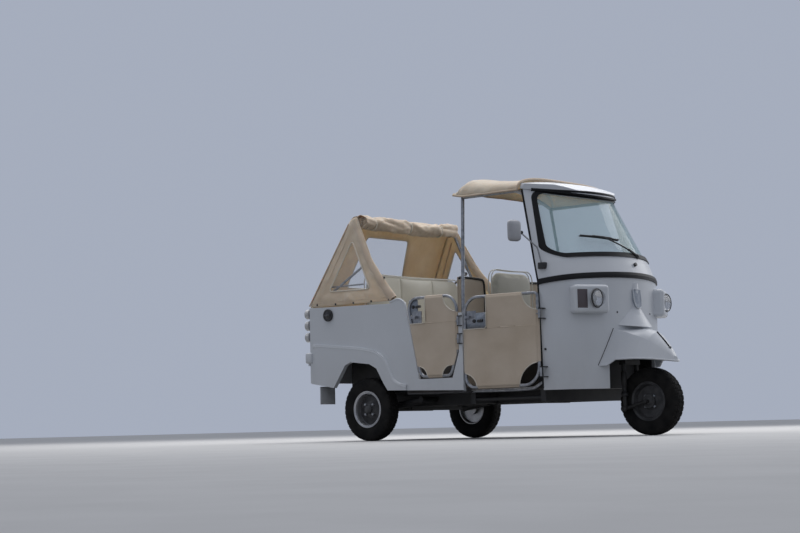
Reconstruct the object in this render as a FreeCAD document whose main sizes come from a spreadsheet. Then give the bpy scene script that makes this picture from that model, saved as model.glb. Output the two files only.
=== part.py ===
import FreeCAD, Part
import math
import os
from FreeCAD import Placement, Rotation, Vector

# Auto rickshaw with one steered front wheel, canvas doors and a folding rear hood.
# Millimetres. +X points forward, +Y to the vehicle's left, +Z up, ground at Z = 0.
# The origin lies on the ground under the middle of the object's box. The one mirror widens the
# right side, so the mid-plane of the vehicle itself is moved left by the size mirror_shift.

os.makedirs("parts", exist_ok=True)
doc = FreeCAD.newDocument("auto_rickshaw")

# Driving dimensions: name, value
SIZES = (
    ("overall_length", 2940),
    ("wheelbase", 2100),
    ("rear_track", 1240),
    ("tyre_diameter", 475),
    ("tyre_width", 116),
    ("tyre_bore", 254),
    ("tyre_shoulder", 38),
    ("rim_width", 92),
    ("hub_diameter", 96),
    ("axle_diameter", 24),
    ("axle_clearance", 0.05),
    ("body_half_width", 700),
    ("mirror_shift", 65),
    ("wall", 22),
    ("sheet_steel", 8),
    ("lamp_reach", 34),
    ("rim_height", 1036),
    ("body_low_rear", 452),
    ("body_low_front", 352),
    ("flare_reach", 14),
    ("seat_deck_height", 640),
    ("parcel_deck_height", 1000),
    ("floor_height", 346),
    ("riser_x", -452),
    ("bulkhead_x", -1010),
    ("pillar_front_x", 100),
    ("pillar_height", 910),
    ("rear_door_bend", 640),
    ("cab_half_width", 612),
    ("bottom_back_z", 332),
    ("bottom_nose_z", 332),
    ("bottom_edge_x", 740),
    ("bottom_half", 602),
    ("bottom_nose_x", 1125),
    ("bottom_nose_radius", 880),
    ("cowl_back_z", 745),
    ("cowl_nose_z", 760),
    ("cowl_edge_x", 740),
    ("cowl_half", 612),
    ("cowl_nose_x", 1130),
    ("cowl_nose_radius", 900),
    ("waist_back_z", 1086),
    ("waist_nose_z", 1132),
    ("waist_edge_x", 729),
    ("waist_half", 612),
    ("waist_nose_x", 1130),
    ("waist_nose_radius", 900),
    ("sill_back_z", 1215),
    ("sill_nose_z", 1262),
    ("sill_edge_x", 697),
    ("sill_half", 599),
    ("sill_nose_x", 1083),
    ("sill_nose_radius", 844),
    ("eaves_back_z", 1770),
    ("eaves_nose_z", 1715),
    ("eaves_edge_x", 560),
    ("eaves_half", 545),
    ("eaves_nose_x", 862),
    ("eaves_nose_radius", 500),
    ("screen_low", 1278),
    ("screen_low_bow", 22),
    ("screen_low_half", 570),
    ("screen_high", 1742),
    ("screen_high_bow", 46),
    ("screen_high_half", 483),
    ("screen_corner", 60),
    ("gasket_width", 32),
    ("moulding_width", 38),
    ("moulding_reach", 10),
    ("liner_y", 505),
    ("cap_overlap", 10),
    ("roof_height", 1896),
    ("roof_skin", 14),
    ("roof_rear_x", -48),
    ("bow_x", 12),
    ("post_foot_x", 80),
    ("post_half", 658),
    ("bow_half", 542),
    ("tube_diameter", 26),
    ("door_tube", 22),
    ("door_top", 1024),
    ("door_bottom", 358),
    ("door_gap", 7),
    ("front_door_tail_x", 108),
    ("front_door_nose_x", 742),
    ("rear_door_top", 1052),
    ("rear_door_bottom", 452),
    ("rear_door_tail_x", -436),
    ("rear_door_nose_x", 60),
    ("hinge_pin", 10),
    ("hinge_reach", 14),
    ("hinge_out", 22),
    ("door_out", 20),
    ("hinge_barrel", 18),
    ("hinge_barrel_height", 60),
    ("canvas", 6),
    ("canvas_out", 5),
    ("soft_gap", 0.3),
    ("well_half_width", 285),
    ("well_rear_x", 955),
    ("well_height", 562),
    ("steering_rake", 22),
    ("axle_lead", 60),
    ("stem_diameter", 34),
    ("headstock_diameter", 60),
    ("headstock_low", 560),
    ("headstock_high", 800),
    ("handlebar_height", 1020),
    ("fork_leg_y", 80),
    ("crown_height", 525),
    ("guard_skin", 10),
    ("lamp_housing_x", 1056),
    ("lamp_housing_y", 448),
    ("lamp_housing_z", 953),
    ("lamp_housing_turn", 27),
    ("lamp_lens_radius", 64),
    ("hood_apex_x", -1006),
    ("hood_height", 1726),
    ("hood_half_width", 590),
    ("hood_front_x", -565),
    ("rear_window_low_half", 256),
    ("rear_window_high_half", 212),
    ("rear_window_low", 1200),
    ("rear_window_high", 1600),
    ("roll_half", 545),
    ("roll_radius", 58),
    ("roll_x", -962),
    ("roll_height", 1668),
    ("bench_front_x", -440),
    ("bench_half_width", 560),
    ("bench_thickness", 150),
    ("backrest_top", 1285),
    ("driver_seat_front_x", 500),
    ("driver_seat_rear_x", 110),
    ("driver_seat_half_width", 225),
    ("driver_seat_top", 760),
    ("driver_back_x", -26),
    ("driver_back_half_width", 262),
    ("driver_back_low", 700),
    ("driver_back_top", 1263),
    ("pad_thickness", 80),
    ("pad_corner", 30),
    ("engine_length", 430),
    ("engine_width", 420),
    ("engine_height", 340),
    ("rail_half_gap", 300),
    ("rail_width", 50),
    ("rail_height", 84),
    ("rail_front_x", 736),
    ("rail_rear_gap", 90),
    ("sill_half_gap", 560),
    ("sill_radius", 14),
    ("beam_width", 40),
    ("cradle_height", 30),
    ("arm_length", 387.5),
    ("arm_half_gap", 470),
    ("tow_eye_x", -1400),
    ("tow_eye_z", 300),
    ("tow_lug", 16),
    ("tow_bore", 24),
)

sheet = doc.addObject("Spreadsheet::Sheet", "Sizes")
for row, (name, value) in enumerate(SIZES, start=1):
    sheet.set("A%d" % row, name)
    sheet.set("B%d" % row, str(value))
    sheet.setAlias("B%d" % row, name)
doc.recompute()


def size(name):
    return float(sheet.get(name))


# Places that follow from the driving dimensions
tail_x = -size("overall_length") / 2
nose_end_x = size("overall_length") / 2
wheel_radius = size("tyre_diameter") / 2
front_axle_x = nose_end_x - wheel_radius
rear_axle_x = front_axle_x - size("wheelbase")
rear_panel_x = tail_x + size("lamp_reach")
inner_half_width = size("body_half_width") - size("wall")
axle_radius = size("axle_diameter") / 2
hub_bore = axle_radius + size("axle_clearance")

# The same places, for expressions bound to the sheet
FRONT_AXLE = "(Sizes.overall_length - Sizes.tyre_diameter) / 2"
REAR_AXLE = "(Sizes.overall_length - Sizes.tyre_diameter) / 2 - Sizes.wheelbase"
WHEEL_R = "Sizes.tyre_diameter / 2"
RAIL_LOW = "Sizes.floor_height - Sizes.sheet_steel - Sizes.rail_height"

pieces = {}


def keep(label, shape):
    """A sub-part made with Part's own functions."""
    obj = doc.addObject("Part::Feature", label)
    obj.Label = label
    obj.Shape = shape.removeSplitter() if len(shape.Solids) == 1 else shape
    obj.Placement = Placement(Vector(0, size("mirror_shift"), 0), Rotation()).multiply(obj.Placement)
    pieces[label] = obj
    return obj


def keep_object(label, obj):
    obj.Label = label
    pieces[label] = obj
    return obj


def bound(kind, name, **expressions):
    """A Part primitive with its sizes bound to the sheet."""
    obj = doc.addObject(kind, name)
    for prop, expression in expressions.items():
        target = ".Placement.Base." + prop[-1] if prop.startswith("at_") else prop
        obj.setExpression(target, expression)
    return obj


def slab(x0, x1, y0, y1, z0, z1):
    return Part.makeBox(x1 - x0, y1 - y0, z1 - z0, Vector(x0, y0, z0))


def rod(start, end, radius):
    start = Vector(*start)
    end = Vector(*end)
    return Part.makeCylinder(radius, (end - start).Length, start, end - start)


def fused(shapes):
    shapes = list(shapes)
    first = shapes[0]
    return first.multiFuse(shapes[1:]) if len(shapes) > 1 else first


def mirrored(shape):
    return shape.mirror(Vector(0, 0, 0), Vector(0, 1, 0))


def profile_face(points, y):
    """A flat face in the plane Y = y from (x, z) corners."""
    corners = [Vector(x, y, z) for x, z in points]
    return Part.Face(Part.makePolygon(corners + corners[:1]))


def plate(points, y0, y1):
    """A plate with the outline (x, z), from y0 to y1."""
    return profile_face(points, y0).extrude(Vector(0, y1 - y0, 0))


def frustum(low, high):
    """A solid with flat sides between two rings of as many corners."""
    rings = [list(low), list(high)]
    for here, ahead in zip(range(len(low)), list(range(1, len(low))) + [0]):
        rings.append([low[here], low[ahead], high[ahead], high[here]])
    return Part.Solid(Part.Shell([Part.Face(Part.makePolygon(ring + ring[:1])) for ring in rings]))


def rounded(shape, radius, chosen):
    edges = [edge for edge in shape.Edges if chosen(edge)]
    return shape.makeFillet(radius, edges) if edges else shape


def along(edge, axis):
    """True if a straight edge runs along the axis 0, 1 or 2."""
    ends = [v.Point for v in edge.Vertexes]
    if len(ends) != 2:
        return False
    step = ends[1] - ends[0]
    return abs(abs(step[axis]) - step.Length) < 1e-6


def tube_loop(corners, radii, tube_radius):
    """A round tube along a closed loop of straight runs with rounded corners."""
    count = len(corners)
    edges = []
    starts = []
    ends = []
    for i, corner in enumerate(corners):
        before = corners[i - 1] - corner
        after = corners[(i + 1) % count] - corner
        cut = radii[i] / math.tan(before.getAngle(after) / 2)
        starts.append(corner + before.normalize() * cut)
        ends.append(corner + after.normalize() * cut)
    for i, corner in enumerate(corners):
        middle = (starts[i] + ends[i]) * 0.5
        inward = (middle - corner).normalize()
        half = (starts[i] - ends[i]).Length / 2
        rise = radii[i] - math.sqrt(max(radii[i] ** 2 - half ** 2, 0))
        edges.append(Part.Arc(starts[i], middle - inward * rise, ends[i]).toShape())
        edges.append(Part.LineSegment(ends[i], starts[(i + 1) % count]).toShape())
    path = Part.Wire(Part.__sortEdges__(edges))
    first = path.Edges[0]
    origin = first.valueAt(first.FirstParameter)
    tangent = first.tangentAt(first.FirstParameter)
    ring = Part.Wire(Part.makeCircle(tube_radius, origin, tangent))
    return path.makePipeShell([ring], True, True)


# Cab plan: at each level a rounded nose and two cheeks tangent to it
NOSE_ANGLE = math.radians(32)

# Levels of the cab, named in the sheet
LEVELS = ("bottom", "cowl", "waist", "sill", "eaves")
WAIST, SILL, EAVES = 2, 3, 4
LEVEL_COLUMNS = ("back_z", "nose_z", "edge_x", "half", "nose_x", "nose_radius")


def level(share):
    """The cab's values at a level, whole numbers being the named ones, others between or beyond."""
    low = min(max(int(math.floor(share)), 0), len(LEVELS) - 2)
    part = share - low
    values = []
    for column in LEVEL_COLUMNS:
        first = size(LEVELS[low] + "_" + column)
        second = size(LEVELS[low + 1] + "_" + column)
        values.append(first + (second - first) * part)
    return values


def plan_wire(share, inset=0.0, lift=0.0):
    """The cab's closed outline in the tilted plane of one level, straight across its back edge."""
    back_z, nose_z, edge_x, half, nose_x, nose_radius = level(share)
    slope = (nose_z - back_z) / (nose_x - edge_x)
    centre_x = nose_x - nose_radius
    radius = nose_radius - inset
    nx, ny = math.cos(NOSE_ANGLE), math.sin(NOSE_ANGLE)
    touch = (centre_x + radius * nx, radius * ny)
    corner = (edge_x, half - inset)
    dx, dy = corner[0] - touch[0], corner[1] - touch[1]
    bend = -(dx * dx + dy * dy) / (2 * (dx * nx + dy * ny))
    cx, cy = touch[0] - bend * nx, touch[1] - bend * ny
    mx, my = (touch[0] + corner[0]) / 2 - cx, (touch[1] + corner[1]) / 2 - cy
    reach = abs(bend) / math.hypot(mx, my)
    cheek = (cx + mx * reach, cy + my * reach)

    def point(xy, flip=1):
        return Vector(xy[0], flip * xy[1], back_z + lift + (xy[0] - edge_x) * slope)

    tip = (centre_x + radius, 0)
    return Part.Wire([
        Part.Arc(point(corner), point(cheek), point(touch)).toShape(),
        Part.Arc(point(touch), point(tip), point(touch, -1)).toShape(),
        Part.Arc(point(touch, -1), point(cheek, -1), point(corner, -1)).toShape(),
        Part.LineSegment(point(corner, -1), point(corner)).toShape(),
    ])


def cab_solid(low, high, inset=0.0):
    """The cab's form between two levels, its skin moved in by the inset."""
    shares = [low] + [s for s in range(len(LEVELS)) if low < s < high] + [high]
    solids = []
    for first, second in zip(shares, shares[1:]):
        wires = [plan_wire(first, inset), plan_wire(second, inset)]
        solids.append(Part.makeLoft(wires, True, True))
    return fused(solids)


def cab_whole(inset=0.0):
    return cab_solid(-0.02, EAVES + 0.02, inset)


def screen_prism(grow_y=0.0, grow_z=0.0):
    """A block along X with the windscreen's outline."""
    low = size("screen_low") - grow_z
    high = size("screen_high") + grow_z
    low_half = size("screen_low_half") + grow_y
    high_half = size("screen_high_half") + grow_y
    x = size("eaves_edge_x") - 100

    def point(y, z):
        return Vector(x, y, z)

    wire = Part.Wire([
        Part.Arc(point(-low_half, low), point(0, low + size("screen_low_bow")), point(low_half, low)).toShape(),
        Part.LineSegment(point(low_half, low), point(high_half, high)).toShape(),
        Part.Arc(point(high_half, high), point(0, high - size("screen_high_bow")),
                 point(-high_half, high)).toShape(),
        Part.LineSegment(point(-high_half, high), point(-low_half, low)).toShape(),
    ])
    prism = Part.Face(wire).extrude(Vector(size("waist_nose_x") - x + 200, 0, 0))
    return rounded(prism, size("screen_corner") + grow_y, lambda e: along(e, 0))


def make_cab():
    wall = size("wall")
    shell = cab_solid(0, EAVES).cut(cab_whole(wall))
    well = slab(size("well_rear_x"), nose_end_x, -size("well_half_width"), size("well_half_width"),
                0, size("well_height"))
    keep("cab_shell", shell.cut(well).cut(screen_prism()))

    # The glass stands 9 behind the skin and is 5 thick, the gasket stands 8 proud of the skin
    glass = cab_solid(WAIST, EAVES, 9).cut(cab_whole(14))
    keep("windscreen", glass.common(screen_prism(-0.2, -0.2)))
    ring = cab_solid(WAIST, EAVES, -8).cut(cab_whole(-0.02))
    ring = ring.common(screen_prism(size("gasket_width") * 0.6, size("gasket_width")).cut(screen_prism()))
    keep("windscreen_gasket", ring)

    half = size("moulding_width") / 2
    below = half / (size("waist_back_z") - size("cowl_back_z"))
    above = half / (size("sill_back_z") - size("waist_back_z"))
    trim = cab_solid(WAIST - below, WAIST + above, -size("moulding_reach"))
    keep("waist_moulding", trim.cut(cab_whole(-0.02)))


def crowned_wire(x, half, foot, shoulder_in, shoulder_up, crest):
    """A roof section at one place: flat foot, leaning sides and an arched crown."""
    foot_l = Vector(x, half, foot)
    foot_r = Vector(x, -half, foot)
    top_l = Vector(x, half - shoulder_in, foot + shoulder_up)
    top_r = Vector(x, shoulder_in - half, foot + shoulder_up)
    return Part.Wire([
        Part.LineSegment(foot_r, foot_l).toShape(),
        Part.LineSegment(foot_l, top_l).toShape(),
        Part.Arc(top_l, Vector(x, 0, crest), top_r).toShape(),
        Part.LineSegment(top_r, foot_r).toShape(),
    ])


def crowned_shell(rows, skin):
    """A hollow roof from its sections, open below; skin is its thickness."""
    outer = Part.makeLoft([crowned_wire(*row) for row in rows], True, True)
    inner_rows = []
    for x, half, foot, inward, up, crest in rows:
        inner_rows.append((x, half - skin, foot - 1, inward, up - skin + 1, crest - skin))
    first, last = list(inner_rows[0]), list(inner_rows[-1])
    first[0] -= 1
    last[0] += 1
    inner_rows = [tuple(first)] + inner_rows[1:-1] + [tuple(last)]
    return outer, Part.makeLoft([crowned_wire(*row) for row in inner_rows], True, True)


def make_cab_roof():
    """The crowned cap over the cab, from the windscreen's top to the canvas roof."""
    back_z, nose_z, edge_x, half, nose_x, nose_radius = level(EAVES)
    back = edge_x - size("cap_overlap")
    slope = (nose_z - back_z) / (nose_x - edge_x)
    # share of the cap's length, crown over the eaves, shoulder height
    rows = ((0.0, size("roof_height") - 44 - back_z, 40), (0.5, 79, 32), (0.75, 42, 23), (1.0, 17, 15.5))
    length = nose_x + 30 - back
    sections = []
    for share, crown, shoulder in rows:
        x = back + length * share
        foot = back_z + (x - edge_x) * slope + 0.05
        sections.append((x, half + 14, foot, 20, shoulder, foot + crown))
    outer, inner = crowned_shell(sections, size("roof_skin"))
    column = Part.Face(plan_wire(EAVES, -12, -200)).extrude(Vector(0, 0, 600))
    column_inner = Part.Face(plan_wire(EAVES, size("roof_skin") - 12, -200)).extrude(Vector(0, 0, 600))
    rear_block = slab(back, edge_x, -half - 12, half + 12, back_z - 100, back_z + 300)
    rear_hollow = slab(back - 1, edge_x, -half + 2, half - 2, back_z - 100, back_z + 300)
    outer = outer.common(column.fuse(rear_block))
    inner = inner.common(column_inner.fuse(rear_hollow))
    keep("cab_roof", outer.cut(inner))

    visor = Part.Face(plan_wire(EAVES, -22, 0)).extrude(Vector(0, 0, 12))
    gap = Part.Face(plan_wire(EAVES, -12.05, -40)).extrude(Vector(0, 0, 100))
    keep("screen_visor", visor.cut(gap).common(slab(edge_x + 60, 2000, -600, 600, 0, 2000)))


def make_cab_floor():
    """Floor sheet of the cab and the lining of its wheel well."""
    floor = size("floor_height")
    skin = size("sheet_steel")
    edge = size("cab_half_width") - 28
    inside = cab_whole(size("wall") + 0.3)
    region = inside.fuse(slab(0, size("cowl_edge_x") - 12, -edge, edge, 0, 2000))
    flat = slab(size("pillar_front_x") + 4, size("well_rear_x") - skin - 0.1, -edge, edge, floor - skin, floor)
    keep("cab_floor", flat.common(region))
    half = size("well_half_width") - 0.5
    back = size("well_rear_x")
    top = size("well_height") + 50
    gap = 0.1
    inner = half - skin - gap
    gate = rod(steering_point(400), steering_point(720), size("headstock_diameter"))
    front = nose_end_x
    # Plates of the lining: x, y and z from low to high; the steering column passes between the roof plates
    plates = [
        (back - skin, back, -half, half, floor - skin, top),
        (back + gap, front, -half, -inner - gap, floor - skin, top),
        (back + gap, front, inner + gap, half, floor - skin, top),
        (back - skin, front, -half, -size("headstock_diameter"), top + gap, top + skin),
        (back - skin, front, size("headstock_diameter"), half, top + gap, top + skin),
    ]
    lining = [slab(*extent).common(inside).cut(gate) for extent in plates]
    arches = []
    for side in (-1, 1):
        arches.append(slab(rear_axle_x - 300, rear_axle_x + 262, side * size("liner_y") - 3,
                           side * size("liner_y") + 3, 360, size("seat_deck_height") - skin - 0.3))
    keep("wheel_liners", Part.makeCompound(lining + arches))


def guard_section(x, foot, low, shoulder, shoulder_z, crest):
    """A mudguard section: two leaning sides under a crown that is flat at the back and arched ahead."""
    left = Vector(x, foot, low)
    right = Vector(x, -foot, low)
    high_left = Vector(x, shoulder, shoulder_z)
    high_right = Vector(x, -shoulder, shoulder_z)
    return Part.Wire([
        Part.LineSegment(right, high_right).toShape(),
        Part.Arc(high_right, Vector(x, 0, crest), high_left).toShape(),
        Part.LineSegment(high_left, left).toShape(),
        Part.LineSegment(left, right).toShape(),
    ])


def make_mudguard():
    # Sections: distance behind the front end, foot half width, low edge, shoulder half width,
    # shoulder height, crest height
    rows = (
        (470, 392, 492, 290, 750, 757),
        (380, 337, 492, 241, 747, 756),
        (330, 300, 533, 206, 731, 755),
        (220, 232, 535, 144, 686, 742),
        (172, 198, 533, 117, 660, 718),
        (116, 150, 528, 85, 620, 657),
        (64, 92, 520, 58, 564, 594),
        (33, 44, 514, 32, 528, 547),
    )
    skin = size("guard_skin")
    outer = Part.makeLoft([guard_section(nose_end_x - row[0], *row[1:]) for row in rows], True, True)
    hollow = []
    for number, (behind, foot, low, shoulder, shoulder_z, crest) in enumerate(rows):
        shift = {0: -1, len(rows) - 1: -skin}.get(number, 0)
        hollow.append(guard_section(nose_end_x - behind + shift, foot - skin, low - 3, shoulder - skin,
                                    shoulder_z - skin * 0.6, crest - skin))
    inner = Part.makeLoft(hollow, True, True)
    cab = cab_whole(-0.05)
    keep("front_mudguard", outer.cut(inner).cut(cab))

    # Raised spine under the waist that flares into a skirt: height at the skin, half width,
    # reach ahead of the skin, drop of the skirt's front
    spine = ((1074, 54, 8, 0), (1030, 60, 12, 0), (905, 66, 16, 0), (858, 165, 34, 8), (788, 246, 78, 26))
    nose = level(1.5)[4]
    back = nose - 240
    wires = []
    for z, half, reach, drop in spine:
        shoulder = nose - half * 0.5
        rise = drop / (nose + reach - shoulder) * (shoulder - back)
        wires.append(Part.Wire([
            Part.LineSegment(Vector(back, -half, z + rise), Vector(shoulder, -half, z)).toShape(),
            Part.Arc(Vector(shoulder, -half, z), Vector(nose + reach, 0, z - drop),
                     Vector(shoulder, half, z)).toShape(),
            Part.LineSegment(Vector(shoulder, half, z), Vector(back, half, z + rise)).toShape(),
            Part.LineSegment(Vector(back, half, z + rise), Vector(back, -half, z + rise)).toShape(),
        ]))
    keep("nose_cowl", Part.makeLoft(wires, True, True).cut(cab))


def make_headlamps():
    """Square housings turned outward, each with a round lamp and an upright indicator lens."""
    housings = []
    lenses = []
    cab = cab_whole(-0.05)
    lens_radius = size("lamp_lens_radius")
    for side in (-1, 1):
        middle = Vector(size("lamp_housing_x"), side * size("lamp_housing_y"), size("lamp_housing_z"))
        turn = Placement(middle, Rotation(Vector(0, 0, 1), side * size("lamp_housing_turn")))
        block = Part.makeBox(220, 268, 200, Vector(-190, -134, -101))
        block = rounded(block, 26, lambda e: True)
        block.Placement = turn
        foot = middle + Vector(26, -side * 11, 3)
        ahead = Vector(1, 0, 0)
        lens = Part.makeCylinder(lens_radius, 22, foot, ahead)
        recess = Part.makeCylinder(lens_radius + 0.05, 200, foot - ahead * 0.05, ahead)
        bed = Part.makeBox(60, 62, 130, Vector(10, side * 72 - 31, -65))
        bed.Placement = turn
        lamp = Part.makeBox(18, 60, 128, Vector(11, side * 72 - 30, -64))
        lamp.Placement = turn
        housings.append(block.cut(cab).cut(recess).cut(bed))
        lenses += [lens.cut(cab), lamp.cut(cab).cut(recess)]
    keep("headlamp_housings", Part.makeCompound(housings))
    keep("front_lenses", Part.makeCompound(lenses))


def make_mirrors():
    """The one door mirror, on the right windscreen pillar."""
    head = rounded(Part.makeBox(44, 108, 150, Vector(-22, -54, -75)), 20, lambda e: True)
    head.Placement = Placement(Vector(680, -800, 1440), Rotation(Vector(0, 0, 1), -10))
    elbow = (742, -622, 1330)
    foot = (756, -604, 1205)
    arm = rod((694, -760, 1432), elbow, 5)
    stem = rod(elbow, foot, 6)
    block = slab(734, 790, -620, -530, 1176, 1222)
    keep("mirror", fused([head, arm, stem, block]).cut(cab_whole(-0.05)))


def make_wiper():
    """Spindle of the wiper, standing on the skin under the windscreen."""
    spindle = Part.makeCylinder(13, 72, Vector(1050, 40, 1190), Vector(1, 0, 0.4))
    keep("wiper", spindle.cut(cab_whole(-0.05)))


def side_outline():
    """The tub's side from the rear corner to the door pillar, as (x, z) corners."""
    low_rear = size("body_low_rear")
    rim = size("rim_height")
    # wheel arch corners: distance ahead of the axle, height
    arch = ((-302, 409), (-180, 576), (-122, 598), (70, 576), (141, 540), (210, 428), (250, 373))
    gap = size("door_gap")
    door_floor = size("rear_door_bottom") - gap
    tail = size("rear_door_tail_x") - gap
    nose = size("rear_door_nose_x") + gap
    points = [(rear_panel_x, low_rear)]
    points += [(rear_axle_x + dx, z) for dx, z in arch]
    points += [
        (size("pillar_front_x"), size("body_low_front")),
        (size("pillar_front_x"), size("pillar_height")),
        (nose, size("pillar_height")),
        (nose, size("rear_door_bend") - 8),
        (nose - 66, door_floor),
        (tail + 122, door_floor),
        (tail - 2, rim - 20),
        (tail - 62, rim + 14),
        (tail - 144, rim - 18),
        (rear_panel_x, rim),
    ]
    return points


def make_body():
    half = size("body_half_width")
    wall = size("wall")
    side = plate(side_outline(), -half, -half + wall)
    mouth = slab(-2000, rear_panel_x + wall, -half, -half + wall, 0, 2000)
    side = side.cut(mouth)
    # Swollen lower wing over the wheel: distance ahead of the axle, height
    flare = ((-560, 456), (-560, 755), (-431, 745), (-22, 703), (122, 678), (216, 621), (260, 522),
             (316, 424), (430, 411), (430, 369), (250, 373), (210, 428), (141, 540), (70, 576),
             (-122, 598), (-180, 576), (-302, 409))
    swell = plate([(rear_axle_x + x, z) for x, z in flare], -half - size("flare_reach"), -half)
    swell = swell.cut(slab(-2000, rear_panel_x + 70, -half - 50, -half, 0, 2000))
    right = side.fuse(swell)
    keep("body_side_right", right)
    keep("body_side_left", mirrored(right))

    rim = size("rim_height")
    low = size("body_low_rear")
    rear = slab(rear_panel_x, rear_panel_x + wall, -half, half, low, rim)
    rear = rounded(rear, wall * 0.8, lambda e: along(e, 2) and e.BoundBox.XMax < rear_panel_x + 1)
    keep("rear_panel", rear)


def make_tub():
    """Floor, seat riser, seat deck, bulkhead and parcel deck as one folded sheet."""
    skin = size("sheet_steel")
    floor = size("floor_height")
    deck = size("seat_deck_height")
    parcel = size("parcel_deck_height")
    front = size("pillar_front_x")
    riser = size("riser_x")
    bulk = size("bulkhead_x")
    back = rear_panel_x + size("wall")
    upper = [(front, floor), (riser + skin, floor), (riser + skin, deck), (bulk + skin, deck),
             (bulk + skin, parcel), (back, parcel)]
    lower = [(back, parcel - skin), (bulk, parcel - skin), (bulk, deck - skin), (riser, deck - skin),
             (riser, floor - skin), (front, floor - skin)]
    keep("rear_tub", plate(upper + lower, -inner_half_width, inner_half_width))


def make_chassis():
    gap = size("rail_half_gap")
    width = size("rail_width")
    high = size("floor_height") - size("sheet_steel")
    low = high - size("rail_height")
    front = size("rail_front_x")
    rear = tail_x + size("rail_rear_gap")
    half_beam = size("beam_width") / 2
    pivot = rear_axle_x + size("arm_length")
    rails = [slab(rear, front, side * gap - width / 2, side * gap + width / 2, low, high) for side in (-1, 1)]
    rear_beam = rear + 2 * half_beam
    beams = [slab(x - half_beam, x + half_beam, -gap, gap, low, high)
             for x in (rear_beam, pivot, size("pillar_front_x"), front - half_beam)]
    sill = size("sill_half_gap")
    reach = sill + 18
    sill_back, sill_front = size("pillar_front_x") - 10, front - half_beam
    outriggers = [slab(x - half_beam, x + half_beam, -reach, reach, low, high) for x in (sill_back, sill_front)]
    # Cradle under the engine: places ahead of the rear axle
    beams += [slab(rear_axle_x + x - half_beam, rear_axle_x + x + half_beam, -gap, gap,
                   low - size("cradle_height"), low) for x in (-192, 108)]
    sills = [rod((sill_back, side * sill, low + 30), (sill_front, side * sill, low + 30), size("sill_radius"))
             for side in (-1, 1)]
    # Towing lug behind the rear crossmember, with a cross bore for a shackle pin
    eye_x = size("tow_eye_x")
    eye_z = size("tow_eye_z")
    thick = size("tow_lug")
    lug = slab(eye_x, rear_beam, -thick / 2, thick / 2, eye_z - 26, eye_z + 26)
    lug = lug.fuse(rod((eye_x, -thick / 2, eye_z), (eye_x, thick / 2, eye_z), 26))
    bore = rod((eye_x, -thick, eye_z), (eye_x, thick, eye_z), size("tow_bore") / 2)
    keep("chassis", fused(rails + beams + outriggers + sills + [lug]).cut(bore))


def make_engine():
    engine = bound("Part::Box", "engine", Length="Sizes.engine_length", Width="Sizes.engine_width",
                   Height="Sizes.engine_height", at_x=REAR_AXLE + " - Sizes.engine_length / 2 - 40",
                   at_y="Sizes.mirror_shift - Sizes.engine_width / 2", at_z=RAIL_LOW + " + Sizes.axle_clearance")
    keep_object("engine", engine)


def wheel_places():
    half_track = size("rear_track") / 2
    return (
        ("front", front_axle_x, 0.0),
        ("rear_left", rear_axle_x, half_track),
        ("rear_right", rear_axle_x, -half_track),
    )


def make_wheels():
    for name, x, y in wheel_places():
        track = {"front": "0", "rear_left": "Sizes.rear_track / 2", "rear_right": "-Sizes.rear_track / 2"}[name]
        centre_x = FRONT_AXLE if name == "front" else REAR_AXLE
        block = bound("Part::Cylinder", "tyre_block_" + name, Radius=WHEEL_R, Height="Sizes.tyre_width")
        hole = bound("Part::Cylinder", "tyre_hole_" + name, Radius="Sizes.tyre_bore / 2",
                     Height="Sizes.tyre_width")
        tyre = doc.addObject("Part::Cut", "tyre_cut_" + name)
        tyre.Base = block
        tyre.Tool = hole
        doc.recompute()
        shoulder = doc.addObject("Part::Fillet", "tyre_" + name)
        shoulder.Base = tyre
        chosen = []
        for number, edge in enumerate(tyre.Shape.Edges, start=1):
            if edge.Length > math.pi * size("tyre_bore") * 1.2:
                chosen.append((number, size("tyre_shoulder"), size("tyre_shoulder")))
        shoulder.Edges = chosen
        shoulder.setExpression(".Placement.Base.x", centre_x)
        shoulder.setExpression(".Placement.Base.y", track + " + Sizes.tyre_width / 2 + Sizes.mirror_shift")
        shoulder.setExpression(".Placement.Base.z", WHEEL_R)
        shoulder.Placement.Rotation = Rotation(Vector(1, 0, 0), 90)
        keep_object("tyre_" + name, shoulder)
        keep("rim_" + name, rim_shape(x, y, -1 if name == "rear_right" else 1))


def rim_shape(x, y, outside):
    """A dished steel wheel, its open dish towards the side given by outside."""
    half = size("rim_width") / 2
    seat = size("tyre_bore") / 2 - 0.02
    hub = size("hub_diameter") / 2
    # Half section: radius, distance along the axle from the wheel's middle
    outline = (
        (hub_bore, -44), (hub, -44), (hub, -16), (seat - 16, -16), (seat - 6, -half), (seat - 6, -half),
        (seat, -half + 0.5), (seat, half), (seat - 6, half), (seat - 8, -6), (hub + 8, -6), (hub - 10, 26),
        (hub_bore, 26),
    )
    points = []
    for radius, step in outline:
        point = Vector(x + radius, y + outside * step, wheel_radius)
        if not points or (point - points[-1]).Length > 1e-6:
            points.append(point)
    face = Part.Face(Part.makePolygon(points + points[:1]))
    return face.revolve(Vector(x, y, wheel_radius), Vector(0, 1, 0), 360)


def make_rear_arms():
    """Swinging arms from the rails to the rear axle, each with its pivot tube and wheel stub."""
    arms = []
    pivot_x = rear_axle_x + size("arm_length")
    pivot_z = size("floor_height") - 46
    arm_y = size("arm_half_gap")
    rail_side = size("rail_half_gap") + size("rail_width") / 2 + 0.2
    for side in (-1, 1):
        arm = rod((pivot_x, side * arm_y, pivot_z), (rear_axle_x, side * arm_y, wheel_radius), 26)
        pivot = rod((pivot_x, side * rail_side, pivot_z), (pivot_x, side * (arm_y + 28), pivot_z), 22)
        stub = rod((rear_axle_x, side * (arm_y - 20), wheel_radius),
                   (rear_axle_x, side * (size("rear_track") / 2 + 40), wheel_radius), axle_radius)
        arms.append(fused([arm, pivot, stub]))
    keep("rear_arms", Part.makeCompound(arms))


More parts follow.
